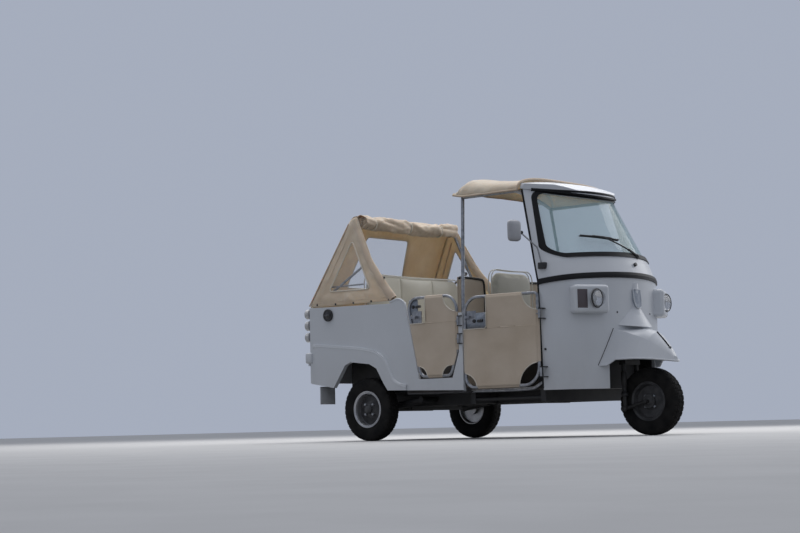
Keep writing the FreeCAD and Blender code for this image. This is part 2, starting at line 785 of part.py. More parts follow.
def steering_point(z):
    """A point of the steering axis at the height z."""
    slope = math.tan(math.radians(size("steering_rake")))
    return Vector(front_axle_x - size("axle_lead") - (z - wheel_radius) * slope, 0, z)


def make_steering():
    low = size("headstock_low")
    high = size("headstock_high")
    a = steering_point(low)
    b = steering_point(high)
    stem_radius = size("stem_diameter") / 2
    tube = rod(a, b, size("headstock_diameter") / 2)
    bore = rod(steering_point(low - 20), steering_point(high + 20), stem_radius + size("axle_clearance"))
    brace = slab(b.x - 90, b.x - 10, -20, 20, high - 90, high - 30)
    floor = size("floor_height")
    legs = [rod((b.x - 60, side * 20, high - 60), (860, side * 260, floor - 20), 16).cut(
        slab(700, 1000, -400, 400, 0, floor + 0.05)) for side in (-1, 1)]
    keep("headstock", fused([tube, brace] + legs).cut(bore))

    leg_y = size("fork_leg_y")
    crown_z = size("crown_height")
    crown = steering_point(crown_z)
    link_x = crown.x + 4
    link_z = 190
    stem = rod(steering_point(crown_z), steering_point(size("handlebar_height") - 8), stem_radius)
    yoke = slab(crown.x - 26, crown.x + 26, -leg_y - 14, leg_y + 14, crown_z - 24, crown_z + 6)
    parts = [stem, yoke]
    for side in (-1, 1):
        parts.append(rod((crown.x, side * leg_y, crown_z - 10), (link_x, side * leg_y, link_z), 15))
        parts.append(rod((link_x, side * leg_y, link_z), (front_axle_x, side * leg_y, wheel_radius), 13))
    parts.append(rod((front_axle_x, -leg_y - 12, wheel_radius), (front_axle_x, leg_y + 12, wheel_radius),
                     axle_radius))
    keep("steering_fork", fused(parts))

    top = steering_point(size("handlebar_height"))
    bar = rod((top.x, -60, top.z), (top.x, 60, top.z), 14)
    wings = []
    for side in (-1, 1):
        wings.append(rod((top.x, side * 58, top.z), (top.x - 60, side * 240, top.z + 40), 12))
        wings.append(rod((top.x - 60, side * 238, top.z + 40), (top.x - 104, side * 340, top.z + 44), 17))
    keep("handlebar", fused([bar] + wings).cut(stem))


def make_door(name, side, nose, tail, outline, radii, hinge_heights, latch, cutouts, window):
    """A tube frame in its own upright plane with a canvas panel, hinged along its front edge.

    nose and tail are (x, y) of the frame's ends on the right side of the vehicle. The outline's
    corners are (distance behind the nose, height) of the frame's outer edge, latch is the tail
    edge's (distance, height) at the latch, cutouts of the canvas are (distance, height, radius)
    and its window is (distance, width, top, bottom).
    """
    tube = size("door_tube") / 2
    start = Vector(nose[0], nose[1], 0)
    back = (Vector(tail[0], tail[1], 0) - start).normalize()
    outward = Vector(-back.y, back.x, 0)
    if outward.y > 0:
        outward = outward * -1

    def at(distance, z, out=0.0):
        point = start + back * distance + outward * out
        return Vector(point.x, point.y, z)

    def inset_outline(inset):
        mid_d = sum(d for d, z in outline) / len(outline)
        mid_z = sum(z for d, z in outline) / len(outline)
        corners = []
        for d, z in outline:
            corners.append(at(d + math.copysign(inset, mid_d - d), z + math.copysign(inset, mid_z - z)))
        return corners

    turn = Rotation(Vector(0, 0, 1), math.degrees(math.atan2(-back.y, -back.x)))
    loop = tube_loop(inset_outline(tube), radii, tube)
    reach = size("hinge_reach")
    out = size("hinge_out")
    pin_hole = size("hinge_pin") / 2 + size("axle_clearance")
    tall = size("hinge_barrel_height")
    parts = [loop]
    pins = []
    for z in hinge_heights:
        foot = at(-reach, z, out)
        arm = rod(at(tube, z + tall / 2, tube - 1), at(-reach, z + tall / 2, out), 6)
        parts += [Part.makeCylinder(size("hinge_barrel") / 2, tall, foot), arm]
        pins.append(foot)
    latch_distance, latch_height = latch
    latch_plate = Part.makeBox(92, 8, 92)
    latch_plate.Placement = Placement(at(latch_distance - tube + 2, latch_height, -4), turn)
    handle = Part.makeBox(40, 36, 18)
    handle.Placement = Placement(at(latch_distance - tube - 12, latch_height + 38, 28), turn)
    frame = fused(parts + [latch_plate, handle])
    for foot in pins:
        frame = frame.cut(Part.makeCylinder(pin_hole, tall + 2, foot - Vector(0, 0, 1)))

    canvas_out = size("canvas_out")
    corners = inset_outline(tube * 1.6)
    face = Part.Face(Part.makePolygon(corners + corners[:1]))
    canvas = face.extrude(outward * size("canvas"))
    canvas.translate(outward * canvas_out)
    canvas = canvas.cut(tube_loop(inset_outline(tube), radii, tube + size("soft_gap")))
    for distance, z, radius in cutouts:
        canvas = canvas.cut(Part.makeCylinder(radius, 160, at(distance, z, -80), outward))
    distance, width, top, bottom = window
    opening = Part.makeBox(width, 160, top - bottom)
    opening.Placement = Placement(at(distance, bottom, 80 if outward.y < 0 else -80), turn)
    canvas = canvas.cut(opening)
    if side > 0:
        frame = mirrored(frame)
        canvas = mirrored(canvas)
    keep("door_frame_" + name, frame)
    keep("door_canvas_" + name, canvas)
    return pins


def hinge_leaves(pins, reach):
    """Pins of one door with the leaves over and under each barrel; reach is their (x, y) run."""
    shapes = []
    tall = size("hinge_barrel_height")
    for foot in pins:
        shapes.append(Part.makeCylinder(size("hinge_pin") / 2, tall + 16, foot - Vector(0, 0, 8)))
        for z in (foot.z - 8, foot.z + tall + 2):
            shapes.append(Part.makeCylinder(8, 6, Vector(foot.x, foot.y, z)))
            shapes.append(slab(foot.x - 4, foot.x + reach[0], foot.y - 6, foot.y + reach[1], z, z + 6))
    return fused(shapes)


def make_doors():
    half = size("body_half_width")
    front_nose = (size("front_door_nose_x"), -(size("cab_half_width") + size("door_out")))
    front_tail = (size("front_door_tail_x"), -(half - 12))
    length = math.hypot(front_nose[0] - front_tail[0], front_nose[1] - front_tail[1])
    top, low = size("door_top"), size("door_bottom")
    front = ((length, top), (0, top), (0, low), (length, low))
    rear_nose = (size("rear_door_nose_x"), -(half - 8))
    rear_tail = (size("rear_door_tail_x"), -(half - 8))
    wide = rear_nose[0] - rear_tail[0]
    rear_top, rear_low = size("rear_door_top"), size("rear_door_bottom")
    bend = size("rear_door_bend")
    rear = ((wide, rear_top), (0, rear_top), (0, bend), (66, rear_low), (wide - 122, rear_low))
    cab = cab_whole(-0.05)
    leaves = []
    for suffix, side in (("right", -1), ("left", 1)):
        pins = make_door("front_" + suffix, side, front_nose, front_tail, front, (115, 24, 130, 70),
                         (low + 70, top - 190), (length, top - 200),
                         ((0, top, 130), (0, low, 170), (length, low, 110)),
                         (length, 150, top + 20, top - 215))
        group = [hinge_leaves(pins, (26, 60)).cut(cab)]
        pins = make_door("rear_" + suffix, side, rear_nose, rear_tail, rear, (80, 110, 50, 55, 55),
                         (rear_low + 240, rear_top - 232), (wide - 44, rear_top - 200),
                         ((0, rear_top, 130), (66, rear_low, 90), (wide - 122, rear_low, 90)),
                         (wide, 110, rear_top + 20, rear_top - 200))
        group.append(hinge_leaves(pins, (30, size("hinge_out") - 8 - 0.05)))
        leaves += group if side < 0 else [mirrored(piece) for piece in group]
    keep("door_hinges", Part.makeCompound(leaves))


def make_posts():
    """Uprights behind the cab, the header bow over them and the rails to the cab roof."""
    radius = size("tube_diameter") / 2
    knee_z = size("eaves_back_z") - 8
    bow_x = size("bow_x")
    bow_half = size("bow_half")
    shapes = []
    for side in (-1, 1):
        elbow = (size("post_foot_x"), side * size("post_half"), size("pillar_height") - 12)
        foot = (size("post_foot_x"), side * size("post_half"), size("floor_height") + 0.05)
        knee = (bow_x, side * bow_half, knee_z)
        front_z = knee_z - 4
        front = (size("eaves_edge_x") - size("soft_gap"), side * (size("eaves_half") - 6), front_z)
        shapes += [rod(foot, elbow, radius), rod(elbow, knee, radius), rod(knee, front, 11)]
        shapes += [Part.makeSphere(radius, Vector(*elbow)), Part.makeSphere(radius, Vector(*knee))]
    arc = Part.Arc(Vector(bow_x, -bow_half, knee_z), Vector(bow_x, 0, size("roof_height") - 26),
                   Vector(bow_x, bow_half, knee_z))
    spine = Part.Wire([arc.toShape()])
    ring = Part.Wire(Part.makeCircle(radius, arc.StartPoint, arc.toShape().tangentAt(arc.FirstParameter)))
    shapes.append(spine.makePipeShell([ring], True, True))
    keep("roof_posts", fused(shapes))


def make_roof_canopy():
    bow_x = size("bow_x")
    front = size("eaves_edge_x") - size("cap_overlap") - size("soft_gap")
    crown = size("roof_height")
    foot = size("eaves_back_z")
    # Sections along X: place, half width, edge height, shoulder in, shoulder up, crown height
    rows = (
        (size("roof_rear_x"), 582, foot + 4, 16, 30, crown - 42),
        (bow_x, 586, foot - 14, 14, 92, crown),
        (front, 572, foot - 14, 18, 66, crown - 28),
    )
    outer, inner = crowned_shell(rows, 8)
    keep("roof_canopy", outer.cut(inner))


def make_hood():
    half = size("body_half_width") - 4
    rim = size("rim_height") + size("soft_gap")
    skin = 8
    apex = size("hood_apex_x")
    front = size("hood_front_x")

    def tent(inset, drop):
        low = [(rear_panel_x + 4 + inset, -half + inset), (rear_panel_x + 4 + inset, half - inset),
               (front + drop, half - inset), (front + drop, -half + inset)]
        top_half = size("hood_half_width") - inset
        high = [(apex - 50 + inset, -top_half), (apex - 50 + inset, top_half), (apex + 30 + drop, top_half),
                (apex + 30 + drop, -top_half)]
        z0 = rim - drop
        z1 = size("hood_height") - inset
        return frustum([Vector(x, y, z0) for x, y in low], [Vector(x, y, z1) for x, y in high])

    shell = tent(0, 0).cut(tent(skin, 30))
    # Side window, between the rear seam, the bow and the rim: x, z
    window = ((-1236, 1146), (-1026, 1549), (-798, 1138))
    hole = plate(window, -900, 900)
    low_half, high_half = size("rear_window_low_half"), size("rear_window_high_half")
    low_z, high_z = size("rear_window_low"), size("rear_window_high")
    corners = [Vector(tail_x - 30, y, z) for y, z in
               ((-low_half, low_z), (low_half, low_z), (high_half, high_z), (-high_half, high_z))]
    back = Part.Face(Part.makePolygon(corners + corners[:1])).extrude(Vector(500, 0, 0))
    roll_half = size("roll_half")
    roll_foot = Vector(size("roll_x"), -roll_half, size("roll_height"))
    gap = size("soft_gap")
    across = Vector(0, 1, 0)
    roll = Part.makeCylinder(size("roll_radius"), 2 * roll_half, roll_foot, across)
    room = Part.makeCylinder(size("roll_radius") + gap, 2 * roll_half + 2 * gap, roll_foot - across * gap, across)
    keep("hood_canvas", shell.cut(hole).cut(back).cut(room))
    keep("hood_roll", roll)


def make_seats():
    corner = size("pad_corner")

    def cushion(label, x0, x1, half, z0, z1):
        keep(label, rounded(slab(x0, x1, -half, half, z0, z1), corner, lambda e: True))

    gap = size("soft_gap")
    deck = size("seat_deck_height") + gap
    bench_half = size("bench_half_width")
    back_rear = size("bulkhead_x") + size("sheet_steel") + gap
    back_front = back_rear + 96
    bench_top = deck + size("bench_thickness")
    cushion("bench_cushion", back_front + 6, size("bench_front_x"), bench_half, deck, bench_top)
    cushion("bench_backrest", back_rear, back_front, bench_half, deck, size("backrest_top"))
    front, rear = size("driver_seat_front_x"), size("driver_seat_rear_x")
    seat_low = size("driver_seat_top") - 120
    cushion("driver_cushion", rear, front, size("driver_seat_half_width"), seat_low + gap,
            size("driver_seat_top"))
    back_x = size("driver_back_x")
    back_low = size("driver_back_low")
    cushion("driver_backrest", back_x, back_x + size("pad_thickness"), size("driver_back_half_width"),
            back_low, size("driver_back_top"))

    # Sheet pedestal under the driver's cushion and the two stays that carry the backrest
    floor = size("floor_height") + 0.05
    skin = size("sheet_steel")
    x0, x1, half = rear + 20, front - 20, size("driver_seat_half_width") - 35
    pedestal = slab(x0, x1, -half, half, floor, seat_low)
    hollow = slab(x0 + skin, x1 - skin, skin - half, half - skin, floor - 1, seat_low - skin)
    shapes = [pedestal.cut(hollow)]
    stay_low = seat_low - 5 * skin
    for y in (-135, 135):
        shapes.append(slab(0, x0 + 1, y - 15, y + 15, stay_low, seat_low - skin))
        shapes.append(slab(0, 24, y - 15, y + 15, stay_low, back_low - gap))
    keep("driver_seat_box", fused(shapes))


def make_rear_trim():
    half = size("body_half_width")
    lamps = []
    for side in (-1, 1):
        for z in (990, 900, 810):
            lamps.append(Part.makeCylinder(38, size("lamp_reach") - 0.05,
                                           Vector(rear_panel_x - 0.05, side * (half - 26), z), Vector(-1, 0, 0)))
    keep("rear_lamps", Part.makeCompound(lamps))
    blocks = []
    for side in (-1, 1):
        near, far = sorted((side * (half - 5), side * (half - 150)))
        blocks.append(slab(rear_panel_x - 16, rear_panel_x - 0.05, near, far, 588, 689))
    keep("rear_bumpers", Part.makeCompound(blocks))
    cap = Part.makeCylinder(46, 12, Vector(tail_x + 250, -half - 0.05, 968), Vector(0, -1, 0))
    keep("filler_cap", cap)


make_cab()
make_cab_roof()
make_cab_floor()
make_mudguard()
make_headlamps()
make_mirrors()
make_wiper()
make_body()
make_tub()
make_chassis()
make_engine()
make_wheels()
make_rear_arms()
make_steering()
make_doors()
make_posts()
make_roof_canopy()
make_hood()
make_seats()
make_rear_trim()

doc.recompute()
for obj in doc.Objects:
    if "Invalid" in obj.State or "Error" in obj.State:
        raise RuntimeError("failed: " + obj.Label)
for label, obj in pieces.items():
    if obj.Shape.isNull() or not obj.Shape.isValid() or not obj.Shape.Solids:
        raise RuntimeError("bad shape: " + label)
for label, obj in pieces.items():
    obj.Shape.exportStep("parts/%s.step" % label)
print(len(pieces), "pieces")
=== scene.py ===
import math

import bmesh
import bpy
from mathutils import Matrix, Vector, noise


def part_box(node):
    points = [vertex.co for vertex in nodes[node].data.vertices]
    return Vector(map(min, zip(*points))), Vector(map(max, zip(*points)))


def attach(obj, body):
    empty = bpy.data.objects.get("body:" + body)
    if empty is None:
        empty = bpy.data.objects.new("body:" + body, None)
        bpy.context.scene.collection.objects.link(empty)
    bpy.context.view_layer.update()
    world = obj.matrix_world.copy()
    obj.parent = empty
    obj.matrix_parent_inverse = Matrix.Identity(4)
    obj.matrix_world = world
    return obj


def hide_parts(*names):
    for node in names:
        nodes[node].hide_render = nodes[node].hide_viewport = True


# Looks of the auto rickshaw: metres, +X forward, +Y to its left, +Z up, ground at Z = 0
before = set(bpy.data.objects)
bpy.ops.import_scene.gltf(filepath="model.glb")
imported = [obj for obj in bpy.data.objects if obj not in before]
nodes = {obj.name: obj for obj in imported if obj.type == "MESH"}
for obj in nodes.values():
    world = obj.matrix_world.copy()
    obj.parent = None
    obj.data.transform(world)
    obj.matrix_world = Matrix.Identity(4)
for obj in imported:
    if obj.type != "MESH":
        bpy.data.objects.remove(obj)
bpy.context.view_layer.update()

# The mid-plane of the vehicle lies left of the box's middle, because there is one mirror
MID_Y = sum(corner.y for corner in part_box("tyre_front")) / 2
RIGHT = -1
LEFT = 1
SIDES = ((RIGHT, "right"), (LEFT, "left"))


def at(x, y, z):
    """A point given from the vehicle's own mid-plane."""
    return Vector((x, y + MID_Y, z))


# Materials

def new_material(name):
    material = bpy.data.materials.new(name)
    material.use_nodes = True
    tree = material.node_tree
    return material, tree, tree.nodes["Principled BSDF"]


def set_inputs(node, values):
    for name, value in values.items():
        node.inputs[name].default_value = value


def math_node(tree, operation, first, second):
    node = tree.nodes.new("ShaderNodeMath")
    node.operation = operation
    tree.links.new(first, node.inputs[0])
    tree.links.new(second, node.inputs[1])
    return node.outputs["Value"]


def place_input(tree, stretch=(1, 1, 1)):
    """Object coordinates, which are the frame's own metres."""
    coordinates = tree.nodes.new("ShaderNodeTexCoord")
    mapping = tree.nodes.new("ShaderNodeMapping")
    mapping.inputs["Scale"].default_value = stretch
    tree.links.new(coordinates.outputs["Object"], mapping.inputs["Vector"])
    return mapping.outputs["Vector"]


def noise_value(tree, scale, detail=4.0, stretch=(1, 1, 1)):
    texture = tree.nodes.new("ShaderNodeTexNoise")
    set_inputs(texture, {"Scale": scale, "Detail": detail})
    tree.links.new(place_input(tree, stretch), texture.inputs["Vector"])
    return texture.outputs["Fac"]


# Pitch in metres of a wave texture whose scale is 1
WAVE_LENGTH = 0.314


def wave_value(tree, vector, direction, pitch, distortion=0.0):
    """Bands across one axis, at a pitch in metres."""
    wave = tree.nodes.new("ShaderNodeTexWave")
    wave.bands_direction = direction
    set_inputs(wave, {"Scale": WAVE_LENGTH / pitch, "Distortion": distortion, "Detail": 1.0})
    tree.links.new(vector, wave.inputs["Vector"])
    return wave.outputs["Fac"]


def darker(shade, share):
    return tuple(v * share for v in shade)


def ramp(tree, value, low, high, dark, light):
    """Colour that goes from dark to light while the value goes from low to high."""
    node = tree.nodes.new("ShaderNodeValToRGB")
    node.color_ramp.elements[0].position = low
    node.color_ramp.elements[1].position = high
    node.color_ramp.elements[0].color = (*dark, 1)
    node.color_ramp.elements[1].color = (*light, 1)
    tree.links.new(value, node.inputs["Fac"])
    return node.outputs["Color"]


def mixed(tree, share, first, second):
    """The first colour where the share is 0, and the second where it is 1."""
    node = tree.nodes.new("ShaderNodeMix")
    node.data_type = "RGBA"
    tree.links.new(share, node.inputs["Factor"])
    tree.links.new(first, node.inputs["A"])
    tree.links.new(second, node.inputs["B"])
    return node.outputs["Result"]


def add_bump(tree, shader, value, strength, depth):
    bump = tree.nodes.new("ShaderNodeBump")
    bump.inputs["Strength"].default_value = strength
    bump.inputs["Distance"].default_value = depth
    tree.links.new(value, bump.inputs["Height"])
    if shader.inputs["Normal"].links:
        tree.links.new(shader.inputs["Normal"].links[0].from_socket, bump.inputs["Normal"])
    tree.links.new(bump.outputs["Normal"], shader.inputs["Normal"])


def finish_of(name, dark, light, roughness, metallic=0.0, patch=3.0, grain=400.0, depth=0.0003, coat=0.0,
              gloss=0.5):
    """A surface whose colour drifts between two shades in patches, with a fine grain."""
    material, tree, shader = new_material(name)
    colour = ramp(tree, noise_value(tree, patch, 6.0), 0.35, 0.65, dark, light)
    tree.links.new(colour, shader.inputs["Base Color"])
    set_inputs(shader, {"Roughness": roughness, "Metallic": metallic, "Specular IOR Level": gloss,
                        "Coat Weight": coat, "Coat Roughness": 0.12})
    if depth:
        add_bump(tree, shader, noise_value(tree, grain, 3.0), 0.35, depth)
    return material


ROAD_DUST = (0.42, 0.39, 0.34)
# Heights where dust starts and where it has its full share
DUST_TOP, DUST_FULL, DUST_SHARE = 0.75, 0.30, 0.30


def paint(name, shade):
    """Enamel with faint orange peel, and road dust that thickens towards the ground."""
    material, tree, shader = new_material(name)
    colour = ramp(tree, noise_value(tree, 2.2, 7.0), 0.3, 0.7, darker(shade, 0.93), shade)
    dust = ramp(tree, noise_value(tree, 30.0, 8.0), 0.4, 0.7, darker(ROAD_DUST, 0.75), ROAD_DUST)
    height = tree.nodes.new("ShaderNodeSeparateXYZ")
    tree.links.new(place_input(tree), height.inputs["Vector"])
    fall = tree.nodes.new("ShaderNodeMapRange")
    set_inputs(fall, {"From Min": DUST_TOP, "From Max": DUST_FULL, "To Max": DUST_SHARE})
    tree.links.new(height.outputs["Z"], fall.inputs["Value"])
    patches = noise_value(tree, 9.0, 8.0, (1, 1, 0.4))
    share = math_node(tree, "MULTIPLY", fall.outputs["Result"], patches)
    tree.links.new(mixed(tree, share, colour, dust), shader.inputs["Base Color"])
    set_inputs(shader, {"Roughness": 0.46, "Coat Weight": 0.25, "Coat Roughness": 0.18})
    add_bump(tree, shader, noise_value(tree, 260.0, 2.0), 0.12, 0.0003)
    add_bump(tree, shader, noise_value(tree, 4.0, 3.0), 0.10, 0.004)
    return material


def woven(name, dark, light, thread=0.0016, folds=0.5, glow=0.0):
    """Coated canvas: a plain weave, faded patches and soft creases."""
    material, tree, shader = new_material(name)
    vector = place_input(tree)
    x, y, z = [wave_value(tree, vector, direction, thread, 0.6) for direction in "XYZ"]
    weave = math_node(tree, "ADD", math_node(tree, "ADD", x, y), z)
    faded = ramp(tree, noise_value(tree, 5.0, 8.0), 0.32, 0.68, dark, light)
    tree.links.new(faded, shader.inputs["Base Color"])
    set_inputs(shader, {"Roughness": 0.82, "Sheen Weight": 0.25, "Sheen Roughness": 0.6})
    add_bump(tree, shader, noise_value(tree, 11.0, 3.0, (1, 1, 0.55)), folds, 0.012)
    add_bump(tree, shader, noise_value(tree, 45.0, 4.0), folds * 0.6, 0.002)
    add_bump(tree, shader, weave, 0.25, 0.0004)
    if glow:
        set_inputs(shader, {"Subsurface Weight": glow, "Subsurface Radius": (0.02, 0.015, 0.011),
                            "Subsurface Scale": 0.6})
    return material


def clear(name, tint, roughness, alpha):
    material, tree, shader = new_material(name)
    set_inputs(shader, {"Roughness": roughness, "IOR": 1.45, "Alpha": alpha})
    colour = ramp(tree, noise_value(tree, 6.0, 5.0), 0.4, 0.6, darker(tint, 0.94), tint)
    tree.links.new(colour, shader.inputs["Base Color"])
    return material


def ribbed(name, shade, pitch, direction, roughness=0.2, alpha=1.0):
    """Moulded lamp plastic or glass with fine ribs."""
    material, tree, shader = new_material(name)
    ribs = wave_value(tree, place_input(tree), direction, pitch)
    colour = ramp(tree, ribs, 0.2, 0.9, darker(shade, 0.72), shade)
    tree.links.new(colour, shader.inputs["Base Color"])
    set_inputs(shader, {"Roughness": roughness, "Alpha": alpha, "Coat Weight": 0.5})
    add_bump(tree, shader, ribs, 0.6, 0.002)
    return material


BODY_PAINT = paint("body_paint", (0.66, 0.69, 0.73))
GUARD_PAINT = paint("guard_paint", (0.64, 0.67, 0.71))
CANVAS = woven("canvas_sand", (0.58, 0.46, 0.34), (0.70, 0.58, 0.45), folds=0.7, glow=0.35)
# Painted shade: the door and screen canvas is a darker copy of the canvas colour, for the upright canvas that
# stands in shade
CANVAS_FLAT_SHADED = woven("canvas_doors_shaded", (0.56, 0.46, 0.35), (0.64, 0.54, 0.43), folds=0.3)
PIPING = woven("piping_cream", (0.66, 0.60, 0.50), (0.76, 0.71, 0.62), thread=0.003, folds=0.1)
VINYL = finish_of("seat_vinyl", (0.52, 0.50, 0.42), (0.60, 0.58, 0.50), 0.48, grain=900.0, depth=0.0006)
SEAT_PIPING = finish_of("seat_piping", (0.66, 0.65, 0.60), (0.74, 0.73, 0.68), 0.4, grain=900.0, depth=0.0004)
RUBBER = finish_of("black_rubber", (0.006, 0.006, 0.007), (0.012, 0.012, 0.013), 0.5, grain=700.0, gloss=0.2)
TYRE = finish_of("tyre_rubber", (0.008, 0.008, 0.008), (0.020, 0.019, 0.018), 0.75, patch=14.0, grain=300.0,
                 gloss=0.12)
SILVER = finish_of("rim_silver", (0.34, 0.34, 0.35), (0.46, 0.46, 0.47), 0.32, metallic=0.7, patch=20.0)
# Wheel dish colour: partly the dish's own dark finish, partly painted shade of the deep, set-in disc
DISH_AND_SHADE = finish_of("rim_dish_and_shade", (0.05, 0.05, 0.052), (0.09, 0.09, 0.092), 0.5, metallic=0.2, patch=20.0,
                 gloss=0.2)
CHASSIS = finish_of("underbody_black", (0.008, 0.008, 0.009), (0.02, 0.019, 0.018), 0.6, patch=8.0)
GALVANISED = finish_of("galvanised_tube", (0.22, 0.23, 0.25), (0.36, 0.37, 0.39), 0.36, metallic=0.75,
                       patch=40.0)
CHROME = finish_of("chrome", (0.72, 0.73, 0.75), (0.80, 0.81, 0.83), 0.08, metallic=1.0, depth=0.0)
ENGINE = finish_of("engine_block", (0.03, 0.03, 0.03), (0.08, 0.075, 0.07), 0.65, metallic=0.4, patch=10.0)
PLASTIC = finish_of("black_plastic", (0.01, 0.01, 0.011), (0.02, 0.02, 0.021), 0.4, patch=10.0)
GLOSS_BLACK = finish_of("gloss_black", (0.008, 0.008, 0.009), (0.014, 0.014, 0.015), 0.16, coat=0.8,
                        depth=0.0)
INNER = finish_of("inner_panel", (0.045, 0.045, 0.048), (0.075, 0.075, 0.08), 0.7, patch=5.0)
LATCH = finish_of("latch_plate", (0.24, 0.28, 0.34), (0.34, 0.38, 0.45), 0.45, patch=60.0, grain=90.0,
                  depth=0.002)
GREY_PLASTIC = finish_of("grey_plastic", (0.34, 0.35, 0.38), (0.42, 0.43, 0.46), 0.4, patch=6.0)
GLASS = clear("screen_glass", (0.42, 0.62, 0.66), 0.03, 0.36)
FILM = clear("window_film", (0.80, 0.84, 0.90), 0.12, 0.16)
LENS = ribbed("headlamp_lens", (0.80, 0.82, 0.84), 0.006, "Y", 0.08, 0.22)
INDICATOR = ribbed("indicator_lens", (0.075, 0.052, 0.06), 0.006, "Z")
CLEAR_LENS = ribbed("clear_lens", (0.62, 0.62, 0.62), 0.005, "Z")

NODE_FINISH = {node: finish for finish, group in (
    (BODY_PAINT, "cab_shell cab_roof nose_cowl headlamp_housings body_side_right body_side_left"),
    (BODY_PAINT, "rear_panel rear_bumpers"),
    (GUARD_PAINT, "front_mudguard"),
    (GLASS, "windscreen"),
    (LENS, "front_lenses"),
    (CLEAR_LENS, "rear_lamps"),
    (RUBBER, "windscreen_gasket waist_moulding screen_visor"),
    (CHASSIS, "cab_floor wheel_liners chassis rear_arms headstock steering_fork door_hinges driver_seat_box"),
    (GREY_PLASTIC, "mirror"),
    (PLASTIC, "wiper handlebar filler_cap"),
    (INNER, "rear_tub"),
    (ENGINE, "engine"),
    (TYRE, "tyre_front tyre_rear_left tyre_rear_right"),
    (DISH_AND_SHADE, "rim_front"),
    (SILVER, "rim_rear_left rim_rear_right"),
    (GALVANISED, "roof_posts door_frame_front_right door_frame_front_left"),
    (GALVANISED, "door_frame_rear_right door_frame_rear_left"),
    (CANVAS_FLAT_SHADED, "door_canvas_front_right door_canvas_front_left"),
    (CANVAS_FLAT_SHADED, "door_canvas_rear_right door_canvas_rear_left"),
    (CANVAS, "roof_canopy hood_canvas hood_roll"),
    (VINYL, "bench_cushion bench_backrest driver_cushion driver_backrest"),
) for node in group.split()}


def dress_nodes():
    for name, obj in nodes.items():
        obj.data.materials.clear()
        obj.data.materials.append(NODE_FINISH[name])


# Shape helpers

def lerp(a, b, share):
    return a + (b - a) * share


def spread(start, end, count):
    """Evenly spaced values from start to end, over count steps."""
    return [lerp(start, end, k / count) for k in range(count + 1)]


def line(start, end, count):
    """Evenly spaced pairs from one pair to another, over count steps."""
    return list(zip(spread(start[0], end[0], count), spread(start[1], end[1], count)))


def turns(count):
    """Even angles once round."""
    return [2 * math.pi * k / count for k in range(count)]


def middle_of(points):
    return sum(points, Vector((0, 0))) / len(points)


def ripple(point, scale, seed=0.0):
    """Smooth noise between -1 and 1 at a point."""
    return noise.noise(Vector((point[0] * scale + seed, point[1] * scale, point[2] * scale)))


def new_object(name, data):
    obj = bpy.data.objects.new(name, data)
    bpy.context.scene.collection.objects.link(obj)
    return obj


def shade_faces(mesh, smooth=True):
    mesh.polygons.foreach_set("use_smooth", [smooth] * len(mesh.polygons))


def settle(obj, material, body):
    """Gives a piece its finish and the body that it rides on."""
    obj.data.materials.append(material)
    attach(obj, body)
    return obj


def mesh_piece(name, points, faces, material, body="root", smooth=True):
    mesh = bpy.data.meshes.new(name)
    mesh.from_pydata([tuple(p) for p in points], [], faces)
    mesh.validate()
    work = bmesh.new()
    work.from_mesh(mesh)
    bmesh.ops.remove_doubles(work, verts=work.verts, dist=1e-6)
    bmesh.ops.recalc_face_normals(work, faces=work.faces)
    work.to_mesh(mesh)
    work.free()
    shade_faces(mesh, smooth)
    return settle(new_object(name, mesh), material, body)


def grid_faces(rows, columns, ring=False):
    faces = []
    for i in range(rows - 1):
        for j in range(columns if ring else columns - 1):
            k = (j + 1) % columns
            faces.append((i * columns + j, i * columns + k, (i + 1) * columns + k, (i + 1) * columns + j))
    return faces


def sheet_piece(name, rows, material, body="root", ring=False, thickness=0.0016, smooth=True):
    """A skin through rows of points, each row as long as the others."""
    points = [p for row in rows for p in row]
    obj = mesh_piece(name, points, grid_faces(len(rows), len(rows[0]), ring), material, body, smooth)
    if thickness:
        solid = obj.modifiers.new("thickness", "SOLIDIFY")
        solid.thickness = thickness
        solid.offset = 0.0
    return obj


def tube(name, points, radius, material, body="root", closed=False, smooth=False, sides=4):
    curve = bpy.data.curves.new(name, "CURVE")
    curve.dimensions = "3D"
    curve.bevel_depth = radius
    curve.bevel_resolution = sides
    curve.use_fill_caps = True
    spline = curve.splines.new("NURBS" if smooth else "POLY")
    spline.points.add(len(points) - 1)
    for target, point in zip(spline.points, points):
        target.co = (*point, 1)
    spline.use_cyclic_u = closed
    if smooth:
        spline.order_u = 3
        spline.use_endpoint_u = not closed
        curve.resolution_u = 6
    return settle(new_object(name, curve), material, body)


def lathe(name, profile, centre, axis, material, body="root", segments=48, smooth=True):
    """A turned piece: profile rows are (distance along the axis, radius)."""
    axis = Vector(axis).normalized()
    side = axis.orthogonal().normalized()
    other = axis.cross(side)
    rows = [[centre + axis * along + (side * math.cos(angle) + other * math.sin(angle)) * radius
             for angle in turns(segments)] for along, radius in profile]
    return sheet_piece(name, rows, material, body, ring=True, thickness=0, smooth=smooth)


def block(name, low, high, bevel, material, turn=None):
    """A box with rounded edges between two corners; turn is (angle about Z, pivot)."""
    mesh = bpy.data.meshes.new(name)
    work = bmesh.new()
    bmesh.ops.create_cube(work, size=1.0)
    middle = (low + high) / 2
    for vert in work.verts:
        for axis in range(3):
            vert.co[axis] = middle[axis] + vert.co[axis] * (high[axis] - low[axis])
    bmesh.ops.bevel(work, geom=work.edges[:], offset=bevel, segments=4, profile=0.5, affect="EDGES")
    if turn:
        angle, pivot = turn
        bmesh.ops.rotate(work, verts=work.verts, cent=pivot, matrix=Matrix.Rotation(angle, 3, "Z"))
    work.to_mesh(mesh)
    work.free()
    shade_faces(mesh)
    return settle(new_object(name, mesh), material, "root")


# Doors: canvas laced over a tube frame, with bound cut-outs at the corners

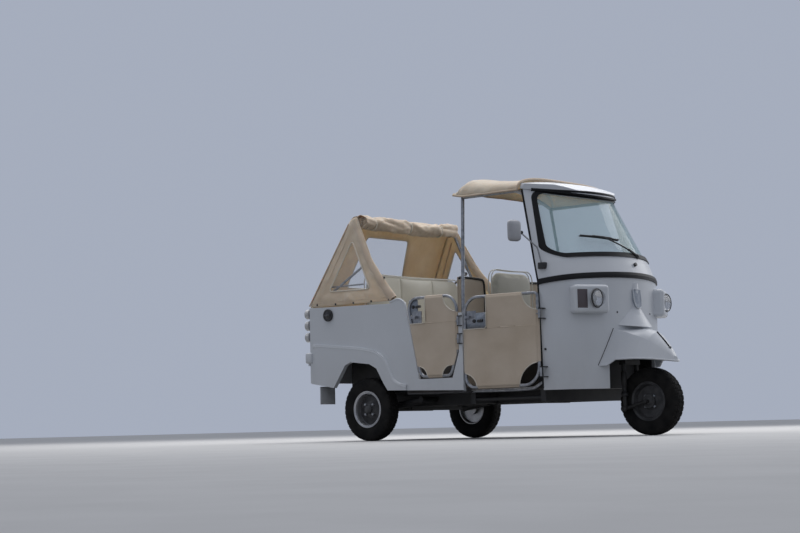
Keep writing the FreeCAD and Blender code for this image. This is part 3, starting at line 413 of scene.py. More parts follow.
# Radius of the frame's tube and of the sleeve round it, and the width of a hem
DOOR_TUBE = 0.011
SLEEVE = 0.0128
FRONT_DOOR = {
    "nose": (0.742, -0.632), "tail": (0.108, -0.688), "top": 1.024, "low": 0.358,
    "nose_bend": 0.358, "nose_in": 0.0, "tail_in": 0.0,
    "top_nose_cut": 0.130, "low_nose_cut": 0.170, "low_tail_cut": 0.110, "window": (0.202, 0.240),
}
REAR_DOOR = {
    "nose": (0.060, -0.692), "tail": (-0.436, -0.692), "top": 1.052, "low": 0.452,
    "nose_bend": 0.640, "nose_in": 0.066, "tail_in": 0.122,
    "top_nose_cut": 0.130, "low_nose_cut": 0.085, "low_tail_cut": 0.085, "window": (0.196, 0.200),
}


class DoorPlane:
    """The upright plane of one door: distance behind its nose, height, distance outwards."""

    def __init__(self, door, side):
        self.side = side
        self.door = door
        start = Vector((*door["nose"], 0))
        end = Vector((*door["tail"], 0))
        self.length = (end - start).length
        self.start = start
        self.back = (end - start).normalized()
        self.outward = Vector((-self.back.y, self.back.x, 0))

    def point(self, distance, z, out=0.0):
        p = self.start + self.back * distance + self.outward * out
        return at(p.x, -self.side * p.y, z)

    def nose_edge(self, z):
        door = self.door
        below = max(door["nose_bend"] - z, 0.0)
        drop = max(door["nose_bend"] - door["low"], 1e-6)
        return door["nose_in"] * below / drop

    def tail_edge(self, z):
        door = self.door
        return self.length - door["tail_in"] * (door["top"] - z) / (door["top"] - door["low"])

    def bounds(self, z):
        """Where the canvas starts and ends at a height, between its cut-outs."""
        door = self.door
        low, high = self.nose_edge(z), self.tail_edge(z)
        top_gap, low_gap = door["top"] - z, z - door["low"]
        if top_gap < door["top_nose_cut"]:
            low = max(low, math.sqrt(door["top_nose_cut"] ** 2 - top_gap ** 2))
        if low_gap < door["low_nose_cut"]:
            reach = math.sqrt(max(door["low_nose_cut"] ** 2 - low_gap ** 2, 0.0))
            low = max(low, self.nose_edge(door["low"]) + reach)
        if low_gap < door["low_tail_cut"]:
            reach = math.sqrt(max(door["low_tail_cut"] ** 2 - low_gap ** 2, 0.0))
            high = min(high, self.tail_edge(door["low"]) - reach)
        width, depth = door["window"]
        if top_gap < depth:
            high = min(high, self.length - width)
        return max(low, DOOR_TUBE), min(high, self.tail_edge(z) - DOOR_TUBE)


def make_door_canvas(place, door, side):
    plane = DoorPlane(door, side)
    body = "door_" + place
    top, low = door["top"] - DOOR_TUBE, door["low"] + DOOR_TUBE
    width, depth = door["window"]
    sill = door["top"] - depth
    nose_cut_top, nose_cut_low = door["top"] - door["top_nose_cut"], door["low"] + door["low_nose_cut"]

    def hang(d, z):
        """Distance of the slack canvas from the door's plane."""
        middle = math.sin(math.pi * min(max(d / plane.length, 0), 1))
        middle *= math.sin(math.pi * (z - low) / (top - low))
        slack = ripple((d, z, side), 9.0, len(place)) * 0.0022 * middle
        return SLEEVE - 0.004 * middle + slack + ripple((d * 0.6, z * 4, 3.0), 7.0) * 0.0009

    heights = spread(low, top, 44) + [sill - 0.0004, sill + 0.0004, nose_cut_top, nose_cut_low]
    rows = []
    for z in sorted(heights):
        first, last = plane.bounds(z)
        rows.append([plane.point(d, z, hang(d, z)) for d in spread(first, last, 30)])
    canvas = sheet_piece("canvas_panel_" + place, rows, CANVAS_FLAT_SHADED, body, thickness=0.0014)
    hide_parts("door_canvas_" + place)
    seam = [plane.point(d, sill, hang(d, sill) + 0.0006) for d in spread(0.014, plane.length - width, 40)]
    tube("door_seam_" + place, seam, 0.0019, CANVAS_FLAT_SHADED, body, sides=3)

    # Sleeves where the canvas goes round the tube, between the cut-outs
    nose_foot, tail_foot = plane.nose_edge(door["low"]), plane.tail_edge(door["low"])
    tail_cut_low = door["low"] + door["low_tail_cut"]
    gap = 0.004
    spans = {
        "top": ((door["top_nose_cut"] + gap, top), (plane.length - width - gap, top)),
        "bottom": ((nose_foot + door["low_nose_cut"] + gap, low),
                   (tail_foot - door["low_tail_cut"] - gap, low)),
        "nose": ((DOOR_TUBE, max(nose_cut_low, door["nose_bend"]) + gap), (DOOR_TUBE, nose_cut_top - gap)),
        "tail": ((plane.tail_edge(tail_cut_low) - DOOR_TUBE, tail_cut_low + gap),
                 (plane.tail_edge(sill) - DOOR_TUBE, sill - gap)),
    }
    for edge, (start, end) in spans.items():
        points = [plane.point(d, z, ripple((d, z, 5.0), 30.0) * 0.0006) for d, z in line(start, end, 14)]
        tube("canvas_sleeve_%s_%s" % (edge, place), points, SLEEVE, CANVAS_FLAT_SHADED, body, smooth=True)

    # Bound edges of the cut-outs
    out = SLEEVE + 0.0008

    def arc(centre_d, centre_z, radius, start, end):
        return [plane.point(centre_d + radius * math.cos(math.radians(angle)),
                            centre_z + radius * math.sin(math.radians(angle)), out)
                for angle in spread(start, end, 16)]

    corner = plane.length - width
    edges = {
        "top_nose": arc(0, door["top"], door["top_nose_cut"], -85, -5),
        "low_nose": arc(nose_foot, door["low"], door["low_nose_cut"], 8, 82),
        "low_tail": arc(tail_foot, door["low"], door["low_tail_cut"], 98, 172),
        "window": [plane.point(d, z, out) for d, z in (
            (corner, door["top"] - 0.004), (corner, sill + 0.016), (corner + 0.016, sill),
            (plane.tail_edge(sill) - 0.004, sill))],
    }
    for edge, points in edges.items():
        tube("canvas_binding_%s_%s" % (edge, place), points, 0.0038, PIPING, body, sides=3)


# Canvas roof between the cab and the rear bow

# Rims of the canvas from back to front: x, half width, height of its edge, height of its crest
CANOPY = ((-0.046, 0.583, 1.782, 1.803), (0.050, 0.590, 1.764, 1.912), (0.546, 0.577, 1.762, 1.860))


def canopy_rim(x):
    """Half width, edge height and crest height of the canvas roof at a distance forward."""
    first, second = CANOPY[:2] if x < CANOPY[1][0] else CANOPY[1:]
    share = (x - first[0]) / (second[0] - first[0])
    return [lerp(low, high, share) for low, high in zip(first[1:], second[1:])]


def canopy_height(x, y):
    """Height of the canvas roof over a point of its plan."""
    half, foot, crown = canopy_rim(x)
    if x < CANOPY[1][0]:
        # The flap behind the bow is fuller near the middle, where the bow lifts it
        share = max((x - CANOPY[0][0]) / (CANOPY[1][0] - CANOPY[0][0]), 0)
        share **= lerp(0.12, 1.0, min((y / 0.50) ** 2, 1))
        crown = lerp(CANOPY[0][3], CANOPY[1][3], share)
    between = (x - CANOPY[1][0]) / (CANOPY[2][0] - CANOPY[1][0])
    fullness = lerp(5.6, 3.6, min(max(between, 0), 1))
    dome = (1 - min(abs(y) / half, 1.0) ** fullness) ** (1 / 2.4)
    sag = 0.012 * math.sin(math.pi * min(max(between, 0), 1))
    return lerp(foot, crown - sag, dome)


def canopy_places(x, count):
    """Distances across the canvas roof, closer together towards its edges."""
    half = canopy_rim(x)[0]
    return [half * math.sin(math.pi * (j / count - 0.5)) for j in range(count + 1)]


def make_canopy():
    rear_x, bow_x, front_x = (rim[0] for rim in CANOPY)
    rows = []
    for x in spread(rear_x, front_x, 52):
        half = canopy_rim(x)[0]
        row = []
        for y in canopy_places(x, 72):
            z = canopy_height(x, y)
            loose = 1.0 if x > bow_x else 1.5
            crease = ripple((x * 1.6, y, z), 6.0, 2.0) * 0.006 + ripple((x * 3, y * 0.7, z), 14.0) * 0.0025
            crease += ripple((x * 5, y * 0.5, z * 2), 9.0, 4.0) * 0.003
            edge = abs(y) / half
            row.append(at(x, y + math.copysign(crease * edge, y), z + crease * loose * (1 - edge * 0.5)))
        rows.append(row)
    canopy = sheet_piece("roof_canvas", rows, CANVAS)
    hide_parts("roof_canopy")
    for name, x, bend, radius, finish in (
        ("bow", bow_x - 0.004, 0.045, 0.0055, PIPING),
        ("rear", rear_x, 0.0, 0.0042, CANVAS),
        ("front", front_x - 0.004, 0.0, 0.0095, CANVAS),
    ):
        half = canopy_rim(x)[0]
        points = []
        for y in canopy_places(x, 48):
            along = x - bend * (y / half) ** 4
            points.append(at(along, y, canopy_height(along, y) + 0.004))
        tube("roof_piping_" + name, points, radius, finish, sides=3)
    for side, word in SIDES:
        points = []
        for x in spread(rear_x, front_x, 24):
            half = canopy_rim(x)[0]
            points.append(at(x, side * half, canopy_height(x, half) + ripple((x, side, 0), 12.0) * 0.003))
        tube("roof_hem_" + word, points, 0.008, CANVAS, sides=3)


# Folding rear hood

HOOD = {
    "rear_x": -1.4300, "front_x": -0.5700, "base_half": 0.694, "base_z": 1.040,
    "apex_rear_x": -1.062, "apex_front_x": -1.000, "apex_half": 0.590, "apex_z": 1.722,
}
# Where the slack front legs sag in: x, z
LEG_BEND = ((-0.775, 1.310),)
# Corners of the side window: x, z
SIDE_WINDOW = ((-1.030, 1.536), (-1.230, 1.152), (-0.804, 1.144))
# Corners of the rear window: y, z
REAR_WINDOW = ((-0.331, 1.590), (-0.363, 1.205), (0.273, 1.205), (0.156, 1.590))
# Press studs along the body: x, z
SNAPS = ((-1.347, 1.056), (-1.150, 1.050), (-0.964, 1.048), (-0.780, 1.048), (-0.600, 1.050), (-0.665, 1.220))
# The studs' turned shape: distance outwards, radius
SNAP_PROFILE = ((0.0, 0.009), (0.003, 0.009), (0.006, 0.006), (0.007, 0.0))


def loop_points(corners, radii, count):
    """Points of a polygon in a plane with one radius per corner, as many on each side and corner."""
    points = []
    total = len(corners)
    for i in range(total):
        radius, next_radius = radii[i], radii[(i + 1) % total]
        corner = Vector(corners[i])
        before = (Vector(corners[i - 1]) - corner).normalized()
        after = (Vector(corners[(i + 1) % total]) - corner).normalized()
        start, end = corner + before * radius, corner + after * radius
        for k in range(count):
            t = k / (count - 1)
            points.append((1 - t) ** 2 * start + 2 * t * (1 - t) * corner + t * t * end)
        next_corner = Vector(corners[(i + 1) % total])
        next_before = (corner - next_corner).normalized()
        stop = next_corner + next_before * next_radius
        for k in range(1, count):
            points.append(end.lerp(stop, k / count))
    return points


def by_angle(loop, centre, count):
    """A closed outline sampled at even angles round a point inside it."""
    polar = sorted((math.atan2(v - centre[1], u - centre[0]), Vector((u, v))) for u, v in loop)
    points = []
    for k in range(count):
        angle = -math.pi + 2 * math.pi * k / count
        after = next((i for i, pair in enumerate(polar) if pair[0] >= angle), 0)
        (a0, p0), (a1, p1) = polar[after - 1], polar[after]
        span = (a1 - a0) % (2 * math.pi)
        points.append(p0.lerp(p1, ((angle - a0) % (2 * math.pi)) / span if span else 0.0))
    return points


def rounded_box(low, high, radius, count):
    """Points round a box in a plane between two corners, with one radius."""
    return loop_points((low, (high[0], low[1]), high, (low[0], high[1])), (radius,) * 4, count)


def ring_rows(outer, inner, steps):
    return [[a.lerp(b, s / steps) for a, b in zip(outer, inner)] for s in range(steps + 1)]


def hood_side_y(z):
    h = HOOD
    return lerp(h["base_half"], h["apex_half"], (z - h["base_z"]) / (h["apex_z"] - h["base_z"]))


def hood_outline():
    """Profile of the hood in x and z, well rounded over its rear bow."""
    h = HOOD
    return loop_points(((h["apex_rear_x"], h["apex_z"]), (h["rear_x"], h["base_z"]),
                        (h["front_x"], h["base_z"]), *LEG_BEND, (h["apex_front_x"], h["apex_z"] - 0.006)),
                       (0.060, 0.020, 0.020, 0.080, 0.030), 9)


def make_hood_side(side, word):
    """Side canvas with its cut-out window, welts, hem and studs."""
    h = HOOD
    centre = Vector((-1.02, 1.28))
    window = loop_points(SIDE_WINDOW, (0.035,) * 3, 9)
    outer, inner = by_angle(hood_outline(), centre, 144), by_angle(window, centre, 144)
    rows = []
    for s, ring in enumerate(ring_rows(outer, inner, 10)):
        puff = math.sin(math.pi * s / 10)
        row = []
        for x, z in ring:
            wave = ripple((x * 1.5, side, z * 1.5), 7.0) * 0.008 + ripple((x, side, z), 22.0) * 0.003
            wave += ripple(((x + z) * 2.0, side, (x - z) * 0.5), 9.0, 5.0) * 0.006
            row.append(at(x, side * (hood_side_y(z) + puff * (0.008 + wave) - 0.002), z))
        rows.append(row)
    panel = sheet_piece("hood_side_" + word, rows, CANVAS, ring=True, thickness=0.002)
    edge = [at(x, side * (hood_side_y(z) + 0.002), z) for x, z in window]
    tube("hood_window_binding_" + word, edge, 0.005, PIPING, closed=True, sides=3)
    middle = middle_of(window)
    rows = [[at(p.x, side * (hood_side_y(p.y) - 0.003), p.y) for p in ring]
            for ring in (window, [middle.lerp(p, 0.5) for p in window], [middle] * len(window))]
    sheet_piece("hood_window_film_" + word, rows, FILM, ring=True, thickness=0)

    # Welts along the side's edges, a stitched hem along the body and press studs
    for edge, radius, start, end in (
        ("rear", 0.005, (h["rear_x"], h["base_z"] + 0.01), (h["apex_rear_x"] - 0.020, h["apex_z"] - 0.052)),
        ("inner", 0.005, (-1.318, h["base_z"] + 0.060), (-1.062, 1.600)),
        ("hem", 0.0022, (h["rear_x"] + 0.010, h["base_z"] + 0.030),
         (h["front_x"] - 0.030, h["base_z"] + 0.030)),
    ):
        points = [at(x, side * (hood_side_y(z) + 0.003 + ripple((x, z, side), 16.0) * 0.002), z)
                  for x, z in line(start, end, 20)]
        tube("hood_welt_%s_%s" % (edge, word), points, radius, CANVAS, smooth=True, sides=3)
    for number, (x, z) in enumerate(SNAPS):
        lathe("hood_snap_%s_%d" % (word, number), SNAP_PROFILE, at(x, side * (hood_side_y(z) + 0.001), z),
              (0, side, 0), GLOSS_BLACK, segments=16)


def rear_profile(share):
    """x and z up the hood's back for shares from 0 to 1, then forward over its top to 1.2."""
    h = HOOD
    low = Vector((h["rear_x"], h["base_z"]))
    corner = Vector((h["apex_rear_x"], h["apex_z"]))
    front = Vector((h["apex_front_x"] + 0.004, h["apex_z"] + 0.002))
    bend = 0.11
    if share < 1 - bend:
        return low.lerp(corner, share)
    start = low.lerp(corner, 1 - bend)
    stop = corner.lerp(front, 0.45)
    if share < 1.08:
        t = (share - 1 + bend) / (0.08 + bend)
        return (1 - t) ** 2 * start + 2 * t * (1 - t) * corner + t * t * stop
    return stop.lerp(front, (share - 1.08) / 0.12)


def rear_point(across, share, out=0.0):
    """A point of the hood's back: across from -1 to 1 between its side edges."""
    x, z = rear_profile(share)
    return at(x - out * 0.86, across * (hood_side_y(z) - 0.002), z + out * 0.5)


def make_hood_rear():
    """Rear canvas with its cut-out window, wrapped over the apex."""
    h = HOOD
    centre = Vector((0.0, 0.55))
    corners = [(y / hood_side_y(z), (z - h["base_z"]) / (h["apex_z"] - h["base_z"])) for y, z in REAR_WINDOW]
    window = loop_points(corners, (0.05,) * 4, 9)
    outer = by_angle(rounded_box((-1, 0.0), (1, 1.2), 0.02, 9), centre, 160)
    rows = []
    for s, ring in enumerate(ring_rows(outer, by_angle(window, centre, 160), 12)):
        row = []
        for across, share in ring:
            wave = ripple((across * 1.2, share * 1.2, 4.0), 5.0) * 0.009
            wave += ripple((across, share, 2.0), 16.0) * 0.003
            row.append(rear_point(across, share, wave * math.sin(math.pi * s / 12)))
        rows.append(row)
    rear = sheet_piece("hood_rear", rows, CANVAS, ring=True, thickness=0.002)
    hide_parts("hood_canvas")
    rows = [[rear_point(p.x, p.y) for p in ring] for ring in (window, [middle_of(window)] * len(window))]
    sheet_piece("hood_rear_film", rows, FILM, ring=True, thickness=0)
    seam = [rear_point(p.x, p.y, 0.002) for p in window]
    tube("hood_rear_window_seam", seam, 0.004, PIPING, closed=True, sides=3)
    wide = loop_points([(x * 1.18, centre.y + (y - centre.y) * 1.14) for x, y in corners], (0.05,) * 4, 9)
    stitching = [rear_point(p.x, p.y, 0.003) for p in wide]
    tube("hood_rear_stitching", stitching, 0.002, CANVAS, closed=True, sides=2)


def make_hood_leg(side, word):
    """Canvas sleeve on a front leg of the hood frame, loose and creased."""
    h = HOOD
    rows = []
    for share in spread(0, 1, 40):
        x = lerp(h["apex_front_x"] - 0.024, h["front_x"] + 0.002, share) - 0.050 * math.sin(math.pi * share)
        z = lerp(h["apex_z"] - 0.030, h["base_z"] + 0.012, share)
        centre = at(x, side * (hood_side_y(z) - 0.004), z)
        width = lerp(0.026, 0.040, share)
        row = []
        for k, angle in enumerate(turns(18)):
            flat = Vector((0.86 * math.cos(angle), 0, 0.51 * math.cos(angle))) * width
            thick = Vector((0, math.sin(angle), 0)) * 0.016
            crease = 1 + ripple((share * 11, k * 0.25, side), 1.0) * 0.13
            crease += ripple((share * 30, k, side), 1.0) * 0.04
            row.append(centre + (flat + thick) * crease)
        rows.append(row)
    sheet_piece("hood_leg_" + word, rows, CANVAS, ring=True, thickness=0)


def make_hood():
    for side, word in SIDES:
        make_hood_side(side, word)
        make_hood_leg(side, word)
        make_hood_frame(side, word)
    make_hood_rear()
    make_roll()
    tube("hood_apex_bow", [at(-1.02, -0.575, 1.690), at(-1.02, 0.575, 1.690)], 0.012, GALVANISED)


# The rolled curtain's axis, radius and ends, and its ties
ROLL = {"x": -0.962, "z": 1.670, "radius": 0.053, "near": -0.585, "far": 0.520}
ROLL_TIES = (-0.459, -0.043, 0.330)


def make_roll():
    """Rolled-up front curtain under the apex, tied and creased."""
    r = ROLL
    rows = []
    for y in spread(r["near"], r["far"], 120):
        pinch = 1.0
        for tie in ROLL_TIES:
            pinch -= 0.22 * math.exp(-((y - tie) / 0.020) ** 2)
        droop = 0.012 * math.cos(math.pi * y) - 0.008 + 0.006 * ripple((y, 1, 0), 3.0)
        row = []
        for angle in turns(48):
            c, s = math.cos(angle), math.sin(angle)
            lump = ripple((c, y * 5, s), 2.0, 9.0)
            fold = math.sin(3 * angle + y * 9 + 2 * ripple((y, 0, 0), 6.0)) * 0.006
            crease = ripple((c * 2, y * 22, s * 2), 1.3, 3.0) * 0.005
            radius = r["radius"] * pinch * (1 + 0.14 * lump) + (fold + crease) * pinch
            row.append(at(r["x"] + radius * c, y, r["z"] - droop + radius * 0.94 * s))
        rows.append(row)
    roll = sheet_piece("hood_rolled_curtain", rows, CANVAS, ring=True, thickness=0.004)
    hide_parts("hood_roll")
    spiral = []
    for turn in range(66):
        angle = turn / 60 * 5 * math.pi
        radius = 0.042 * (1 - turn / 78)
        spiral.append((radius * math.cos(angle), radius * math.sin(angle)))
    for word, y, inward in (("right", r["near"] + 0.004, 0.07), ("left", r["far"] - 0.004, -0.07)):
        rows = [[at(r["x"] + a, y + depth, r["z"] + b) for a, b in spiral] for depth in (0.0, inward)]
        sheet_piece("hood_roll_turns_" + word, rows, CANVAS, thickness=0.003)
        # Painted shade: a dark disc inside each end of the roll, behind and between the canvas turns
        lathe("hood_roll_shade_disc_" + word, [(0.0, 0.044), (0.0, 0.0)], at(r["x"], y + inward * 0.6, r["z"]),
              (0, -1 if inward > 0 else 1, 0), INNER, segments=32)
    for number, tie in enumerate(ROLL_TIES):
        points = [at(r["x"] + 0.045 * math.cos(angle), tie, r["z"] - 0.004 + 0.045 * math.sin(angle))
                  for angle in turns(28)]
        tube("hood_tie_%d" % number, points, 0.006, PIPING, closed=True, sides=2)


def make_hood_frame(side, word):
    def inside(x, y, z):
        return at(x, side * (y - 0.018), z)

    joint = inside(-0.9255, 0.630, 1.332)
    tube("hood_stay_" + word, [inside(-1.2795, 0.660, 1.120), joint], 0.009, GALVANISED)
    tube("hood_bow_leg_" + word, [inside(-1.010, 0.585, 1.69), inside(-0.80, 0.660, 1.12)], 0.011, GALVANISED)
    tube("hood_rod_" + word, [inside(-1.235, 0.655, 1.19), inside(-0.90, 0.655, 1.19)], 0.006, GALVANISED)
    disc = ((-0.012, 0.0), (-0.012, 0.016), (0.012, 0.016), (0.012, 0.0))
    lathe("hood_joint_" + word, disc, joint, (0, 1, 0), GALVANISED, segments=20)


# Seats

# The most that a pad's faces move out, and the frames that its cloth runs
PAD_GROWTH = 0.012
PAD_FRAMES = 20


def even_mesh(obj, voxel):
    """The object's mesh remade of even faces, so that cloth bends alike all over."""
    remesh = obj.modifiers.new("even", "REMESH")
    remesh.mode = "VOXEL"
    remesh.voxel_size = voxel
    bpy.context.view_layer.update()
    graph = bpy.context.evaluated_depsgraph_get()
    mesh = bpy.data.meshes.new_from_object(obj.evaluated_get(graph))
    obj.modifiers.clear()
    obj.data = mesh


def inflate(obj, held):
    """Blows the pad up as cloth round the seams that hold it, by no more than PAD_GROWTH."""
    scene = bpy.context.scene
    start = [v.co.copy() for v in obj.data.vertices]
    group = obj.vertex_groups.new(name="seams")
    group.add([i for i, p in enumerate(start) if held(p)], 1.0, "REPLACE")
    cloth = obj.modifiers.new("cloth", "CLOTH")
    cloth.settings.quality = 4
    cloth.settings.mass = 0.4
    cloth.settings.use_pressure = True
    cloth.settings.uniform_pressure_force = 4.0
    cloth.settings.effector_weights.gravity = 0.0
    cloth.settings.vertex_group_mass = "seams"
    cloth.collision_settings.use_collision = False
    cloth.point_cache.frame_start = 1
    cloth.point_cache.frame_end = PAD_FRAMES
    for step in range(1, PAD_FRAMES + 1):
        scene.frame_set(step)
    graph = bpy.context.evaluated_depsgraph_get()
    blown = [v.co.copy() for v in obj.evaluated_get(graph).data.vertices]
    obj.modifiers.clear()
    for vert, old, new in zip(obj.data.vertices, start, blown):
        move = new - old
        if move.length > PAD_GROWTH:
            move *= PAD_GROWTH / move.length
        vert.co = old + move
    scene.frame_set(1)


def pad(name, node, crown, seams, squareness, voxel):
    """An upholstered pad: crowned faces between sewn seams, drawn-in sides, piping and creases.

    seams are places of sewn channels from -1 to 1 across the pad's width.
    """
    low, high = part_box(node)
    size = high - low
    middle = (low + high) / 2
    thin = min(range(3), key=lambda axis: size[axis])
    wide = [axis for axis in range(3) if axis != thin]
    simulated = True
    reach = Vector([size[a] / 2 - (PAD_GROWTH if simulated else 0.001) for a in range(3)])

    mesh = bpy.data.meshes.new(name)
    work = bmesh.new()
    bmesh.ops.create_cube(work, size=2.0)
    bmesh.ops.subdivide_edges(work, edges=work.edges[:], cuts=30, use_grid_fill=True)
    for vert in work.verts:
        u, v, w = (abs(c) ** squareness for c in vert.co)
        p = vert.co / (u + v + w) ** (1 / squareness)
        dome = (1 - p[wide[0]] ** 2) * (1 - p[wide[1]] ** 2)
        p[thin] *= 1 - crown / size[thin] * 2 * (1 - dome)
        for axis, other in (wide, wide[::-1]):
            p[axis] *= 1 - 0.020 / size[axis] * (1 - p[other] ** 2)
        vert.co = [middle[a] + p[a] * reach[a] for a in range(3)]
    work.to_mesh(mesh)
    work.free()
    obj = new_object(name, mesh)

    def across(point):
        return (point[1] - middle[1]) / (size[1] / 2)

    def channel(point):
        """How far a point lies from the nearest sewn channel, in metres."""
        return min([abs(across(point) - seam) * size[1] / 2 for seam in seams] or [1.0])

    def held(point):
        local = [abs(point[a] - middle[a]) / reach[a] for a in range(3)]
        rim = local[thin] > 0.55 and max(local[wide[0]], local[wide[1]]) > 0.95
        return rim or channel(point) < voxel * 0.7

    if simulated:
        even_mesh(obj, voxel)
        inflate(obj, held)
    for vert in obj.data.vertices:
        p = vert.co
        sink = 0.007 * math.exp(-(channel(p) / 0.007) ** 2)
        face = 1 if p[thin] > middle[thin] else -1
        if abs(p[thin] - middle[thin]) > size[thin] * 0.25:
            p[thin] -= face * sink
            p[thin] += ripple(p, 9.0, len(name)) * 0.0016
        vert.co = [min(max(p[a], low[a] + 0.0005), high[a] - 0.0005) for a in range(3)]
    shade_faces(obj.data)
    if simulated:
        obj.modifiers.new("fine", "SUBSURF").levels = 1
    settle(obj, VINYL, "root")
    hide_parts(node)

    # Piping along both rims of the pad
    ring = rounded_box((-1, -1), (1, 1), 1.9 / squareness, 9)
    for word, share in (("low", -1), ("high", 1)):
        points = []
        for u, v in ring:
            place = [0, 0, 0]
            place[thin] = middle[thin] + share * (size[thin] / 2 - 0.020 - crown * 0.5)
            for axis, value, other in ((wide[0], u, v), (wide[1], v, u)):
                pull = 0.010 * (1 - other ** 2)
                place[axis] = middle[axis] + value * (size[axis] / 2 - 0.0045 - pull)
            points.append(place)
        tube("%s_piping_%s" % (name, word), points, 0.0042, SEAT_PIPING, closed=True, sides=3)


def make_seats():
    for name, node, crown, seams, squareness, voxel in (
        ("bench_seat_pad", "bench_cushion", 0.020, (-0.34, 0.34), 7.0, 0.009),
        ("bench_back_pad", "bench_backrest", 0.010, (-0.34, 0.34), 8.0, 0.009),
        ("driver_seat_pad", "driver_cushion", 0.018, (), 6.0, 0.007),
        ("driver_back_pad", "driver_backrest", 0.014, (), 5.0, 0.007),
    ):
        pad(name, node, crown, seams, squareness, voxel)


# Wheels

TYRE_BEAD = 0.128
TREAD_STEPS = 216
# Edges of the grooves round the tread, as shares of its half width
GROOVES = (0.56, 0.60, 0.26, 0.30)


def tread_cut(share, r, radius, step):
    """What the tread's grooves and gaps take off at one step round the tyre, less the sidewall's ribs."""
    if share in GROOVES:
        return 0.006
    if r > radius - 0.0125:
        shift = 0 if share > 0.45 else 2
        return 0.005 if (step + shift) % 6 < 1 else 0
    if 0.95 < share <= 1.0 and r > TYRE_BEAD + 0.05:
        return -0.0008 if step % 4 < 2 else 0.0008
    return 0


def make_tyre(place, body):
    """Tyre with a ribbed sidewall and a block tread, from the node's own size."""
    node = "tyre_" + place
    low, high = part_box(node)
    centre = (low + high) / 2
    radius = (high.z - low.z) / 2
    half = (high.y - low.y) / 2
    # Half section: shares of the half width, with heights above the bead and then depths under the tread
    wall = [(0.70, 0), (0.80, 0.004), (0.90, 0.020), (0.975, 0.042), (1.00, 0.062)]
    crown = [(0.985, 0.030), (0.95, 0.020), (0.90, 0.012), (0.82, 0.006), (0.80, 0.005), (0.62, 0.002),
             (0.60, 0.002), (0.56, 0.002), (0.54, 0.001), (0.32, 0), (0.30, 0), (0.26, 0), (0.24, 0),
             (0.02, 0)]
    section = [(a, TYRE_BEAD + rise) for a, rise in wall] + [(a, radius - drop) for a, drop in crown]
    rows = []
    for share, r in [(-a, r) for a, r in section] + section[::-1]:
        row = []
        for step, angle in enumerate(turns(TREAD_STEPS)):
            rr = r - tread_cut(abs(share), r, radius, step)
            row.append(centre + Vector((math.cos(angle) * rr, share * half, math.sin(angle) * rr)))
        rows.append(row)
    obj = sheet_piece("tyre_tread_" + place, rows, TYRE, body, ring=True, thickness=0, smooth=False)
    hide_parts(node)


# Turned shapes on the wheels: distance outwards, radius
HUB_CAP = ((0.0, 0.034), (0.012, 0.034), (0.020, 0.026), (0.024, 0.012), (0.025, 0.0))
HUB_DISH = ((-0.024, 0.1165), (-0.022, 0.100), (-0.010, 0.070), (0.004, 0.050), (0.007, 0.036))
WHEEL_NUT = ((0.0, 0.011), (0.012, 0.011), (0.016, 0.007), (0.017, 0.0))
RIM_LIP = ((-0.006, 0.119), (0.002, 0.123), (0.008, 0.130), (0.012, 0.136), (0.010, 0.139), (0.004, 0.138),
           (-0.004, 0.131))
NUT_CIRCLE = 0.052


def make_wheel_detail(place, body, out):
    """Hub cap, dark dish, wheel nuts and rim lip on the outer face of one wheel; the dark of the cap and dish
    is partly painted shade.
    """
    low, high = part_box("tyre_" + place)
    axis = Vector((0, out, 0))
    centre = (low + high) / 2
    face = centre + axis * 0.020
    lathe("hub_cap_" + place, HUB_CAP, face + axis * 0.008, axis, DISH_AND_SHADE, body, segments=32)
    lathe("dish_" + place, HUB_DISH, face, axis, DISH_AND_SHADE, body, segments=64)
    for k in range(4):
        angle = math.pi / 4 + k * math.pi / 2
        spot = face + Vector((math.cos(angle), 0, math.sin(angle))) * NUT_CIRCLE
        lathe("wheel_nut_%s_%d" % (place, k), WHEEL_NUT, spot, axis, GALVANISED, body, segments=6,
              smooth=False)
    # The front rim lip takes the dark dish colour, partly painted shade, where the rear rims are silver
    rim = DISH_AND_SHADE if place == "front" else SILVER
    lathe("rim_lip_" + place, RIM_LIP, centre + axis * 0.040, axis, rim, body, segments=96)


def make_wheels():
    for place, out in (("front", RIGHT), ("rear_left", LEFT), ("rear_right", RIGHT)):
        body = "front_wheel" if place == "front" else place.replace("rear", "rear_wheel")
        make_tyre(place, body)
        make_wheel_detail(place, body, out)


# Lamps and mirror

# Middle of the left headlamp, and its turned shapes: distance outwards, radius
LAMP = (1.082, 0.437, 0.956)
LAMP_REFLECTOR = ((0.006, 0.060), (-0.004, 0.054), (-0.012, 0.036), (-0.016, 0.010), (-0.016, 0.0))
LAMP_GLASS = ((0.020, 0.063), (0.024, 0.058), (0.027, 0.040), (0.0285, 0.020), (0.029, 0.0))
LAMP_RIM = ((0.014, 0.0665), (0.023, 0.0675), (0.026, 0.062), (0.022, 0.058))


def make_lamps():
    for side, word in SIDES:
        x, y, z = LAMP
        centre = at(x, side * y, z)
        lathe("headlamp_reflector_" + word, LAMP_REFLECTOR, centre + Vector((0.014, 0, 0)), (1, 0, 0), CHROME,
              segments=40)
        lathe("headlamp_glass_" + word, LAMP_GLASS, centre, (1, 0, 0), LENS)
        lathe("headlamp_rim_" + word, LAMP_RIM, centre, (1, 0, 0), PLASTIC)
        housing = at(1.056, side * 0.448, 0.953)
        middle = housing + Vector((0, side * 0.080, 0))
        block("indicator_glass_" + word, middle + Vector((0.011, -0.039, -0.0665)),
              middle + Vector((0.0305, 0.039, 0.0665)), 0.004, INDICATOR,
              turn=(side * math.radians(27), housing))


# Rings of the mirror's shell: depth, and how far the outline is drawn in
MIRROR_SHELL = ((-0.021, 1.0), (-0.021, 0.10), (-0.018, 0.02), (-0.004, 0.0), (0.008, 0.05), (0.016, 0.20),
                (0.020, 0.45), (0.021, 1.0))


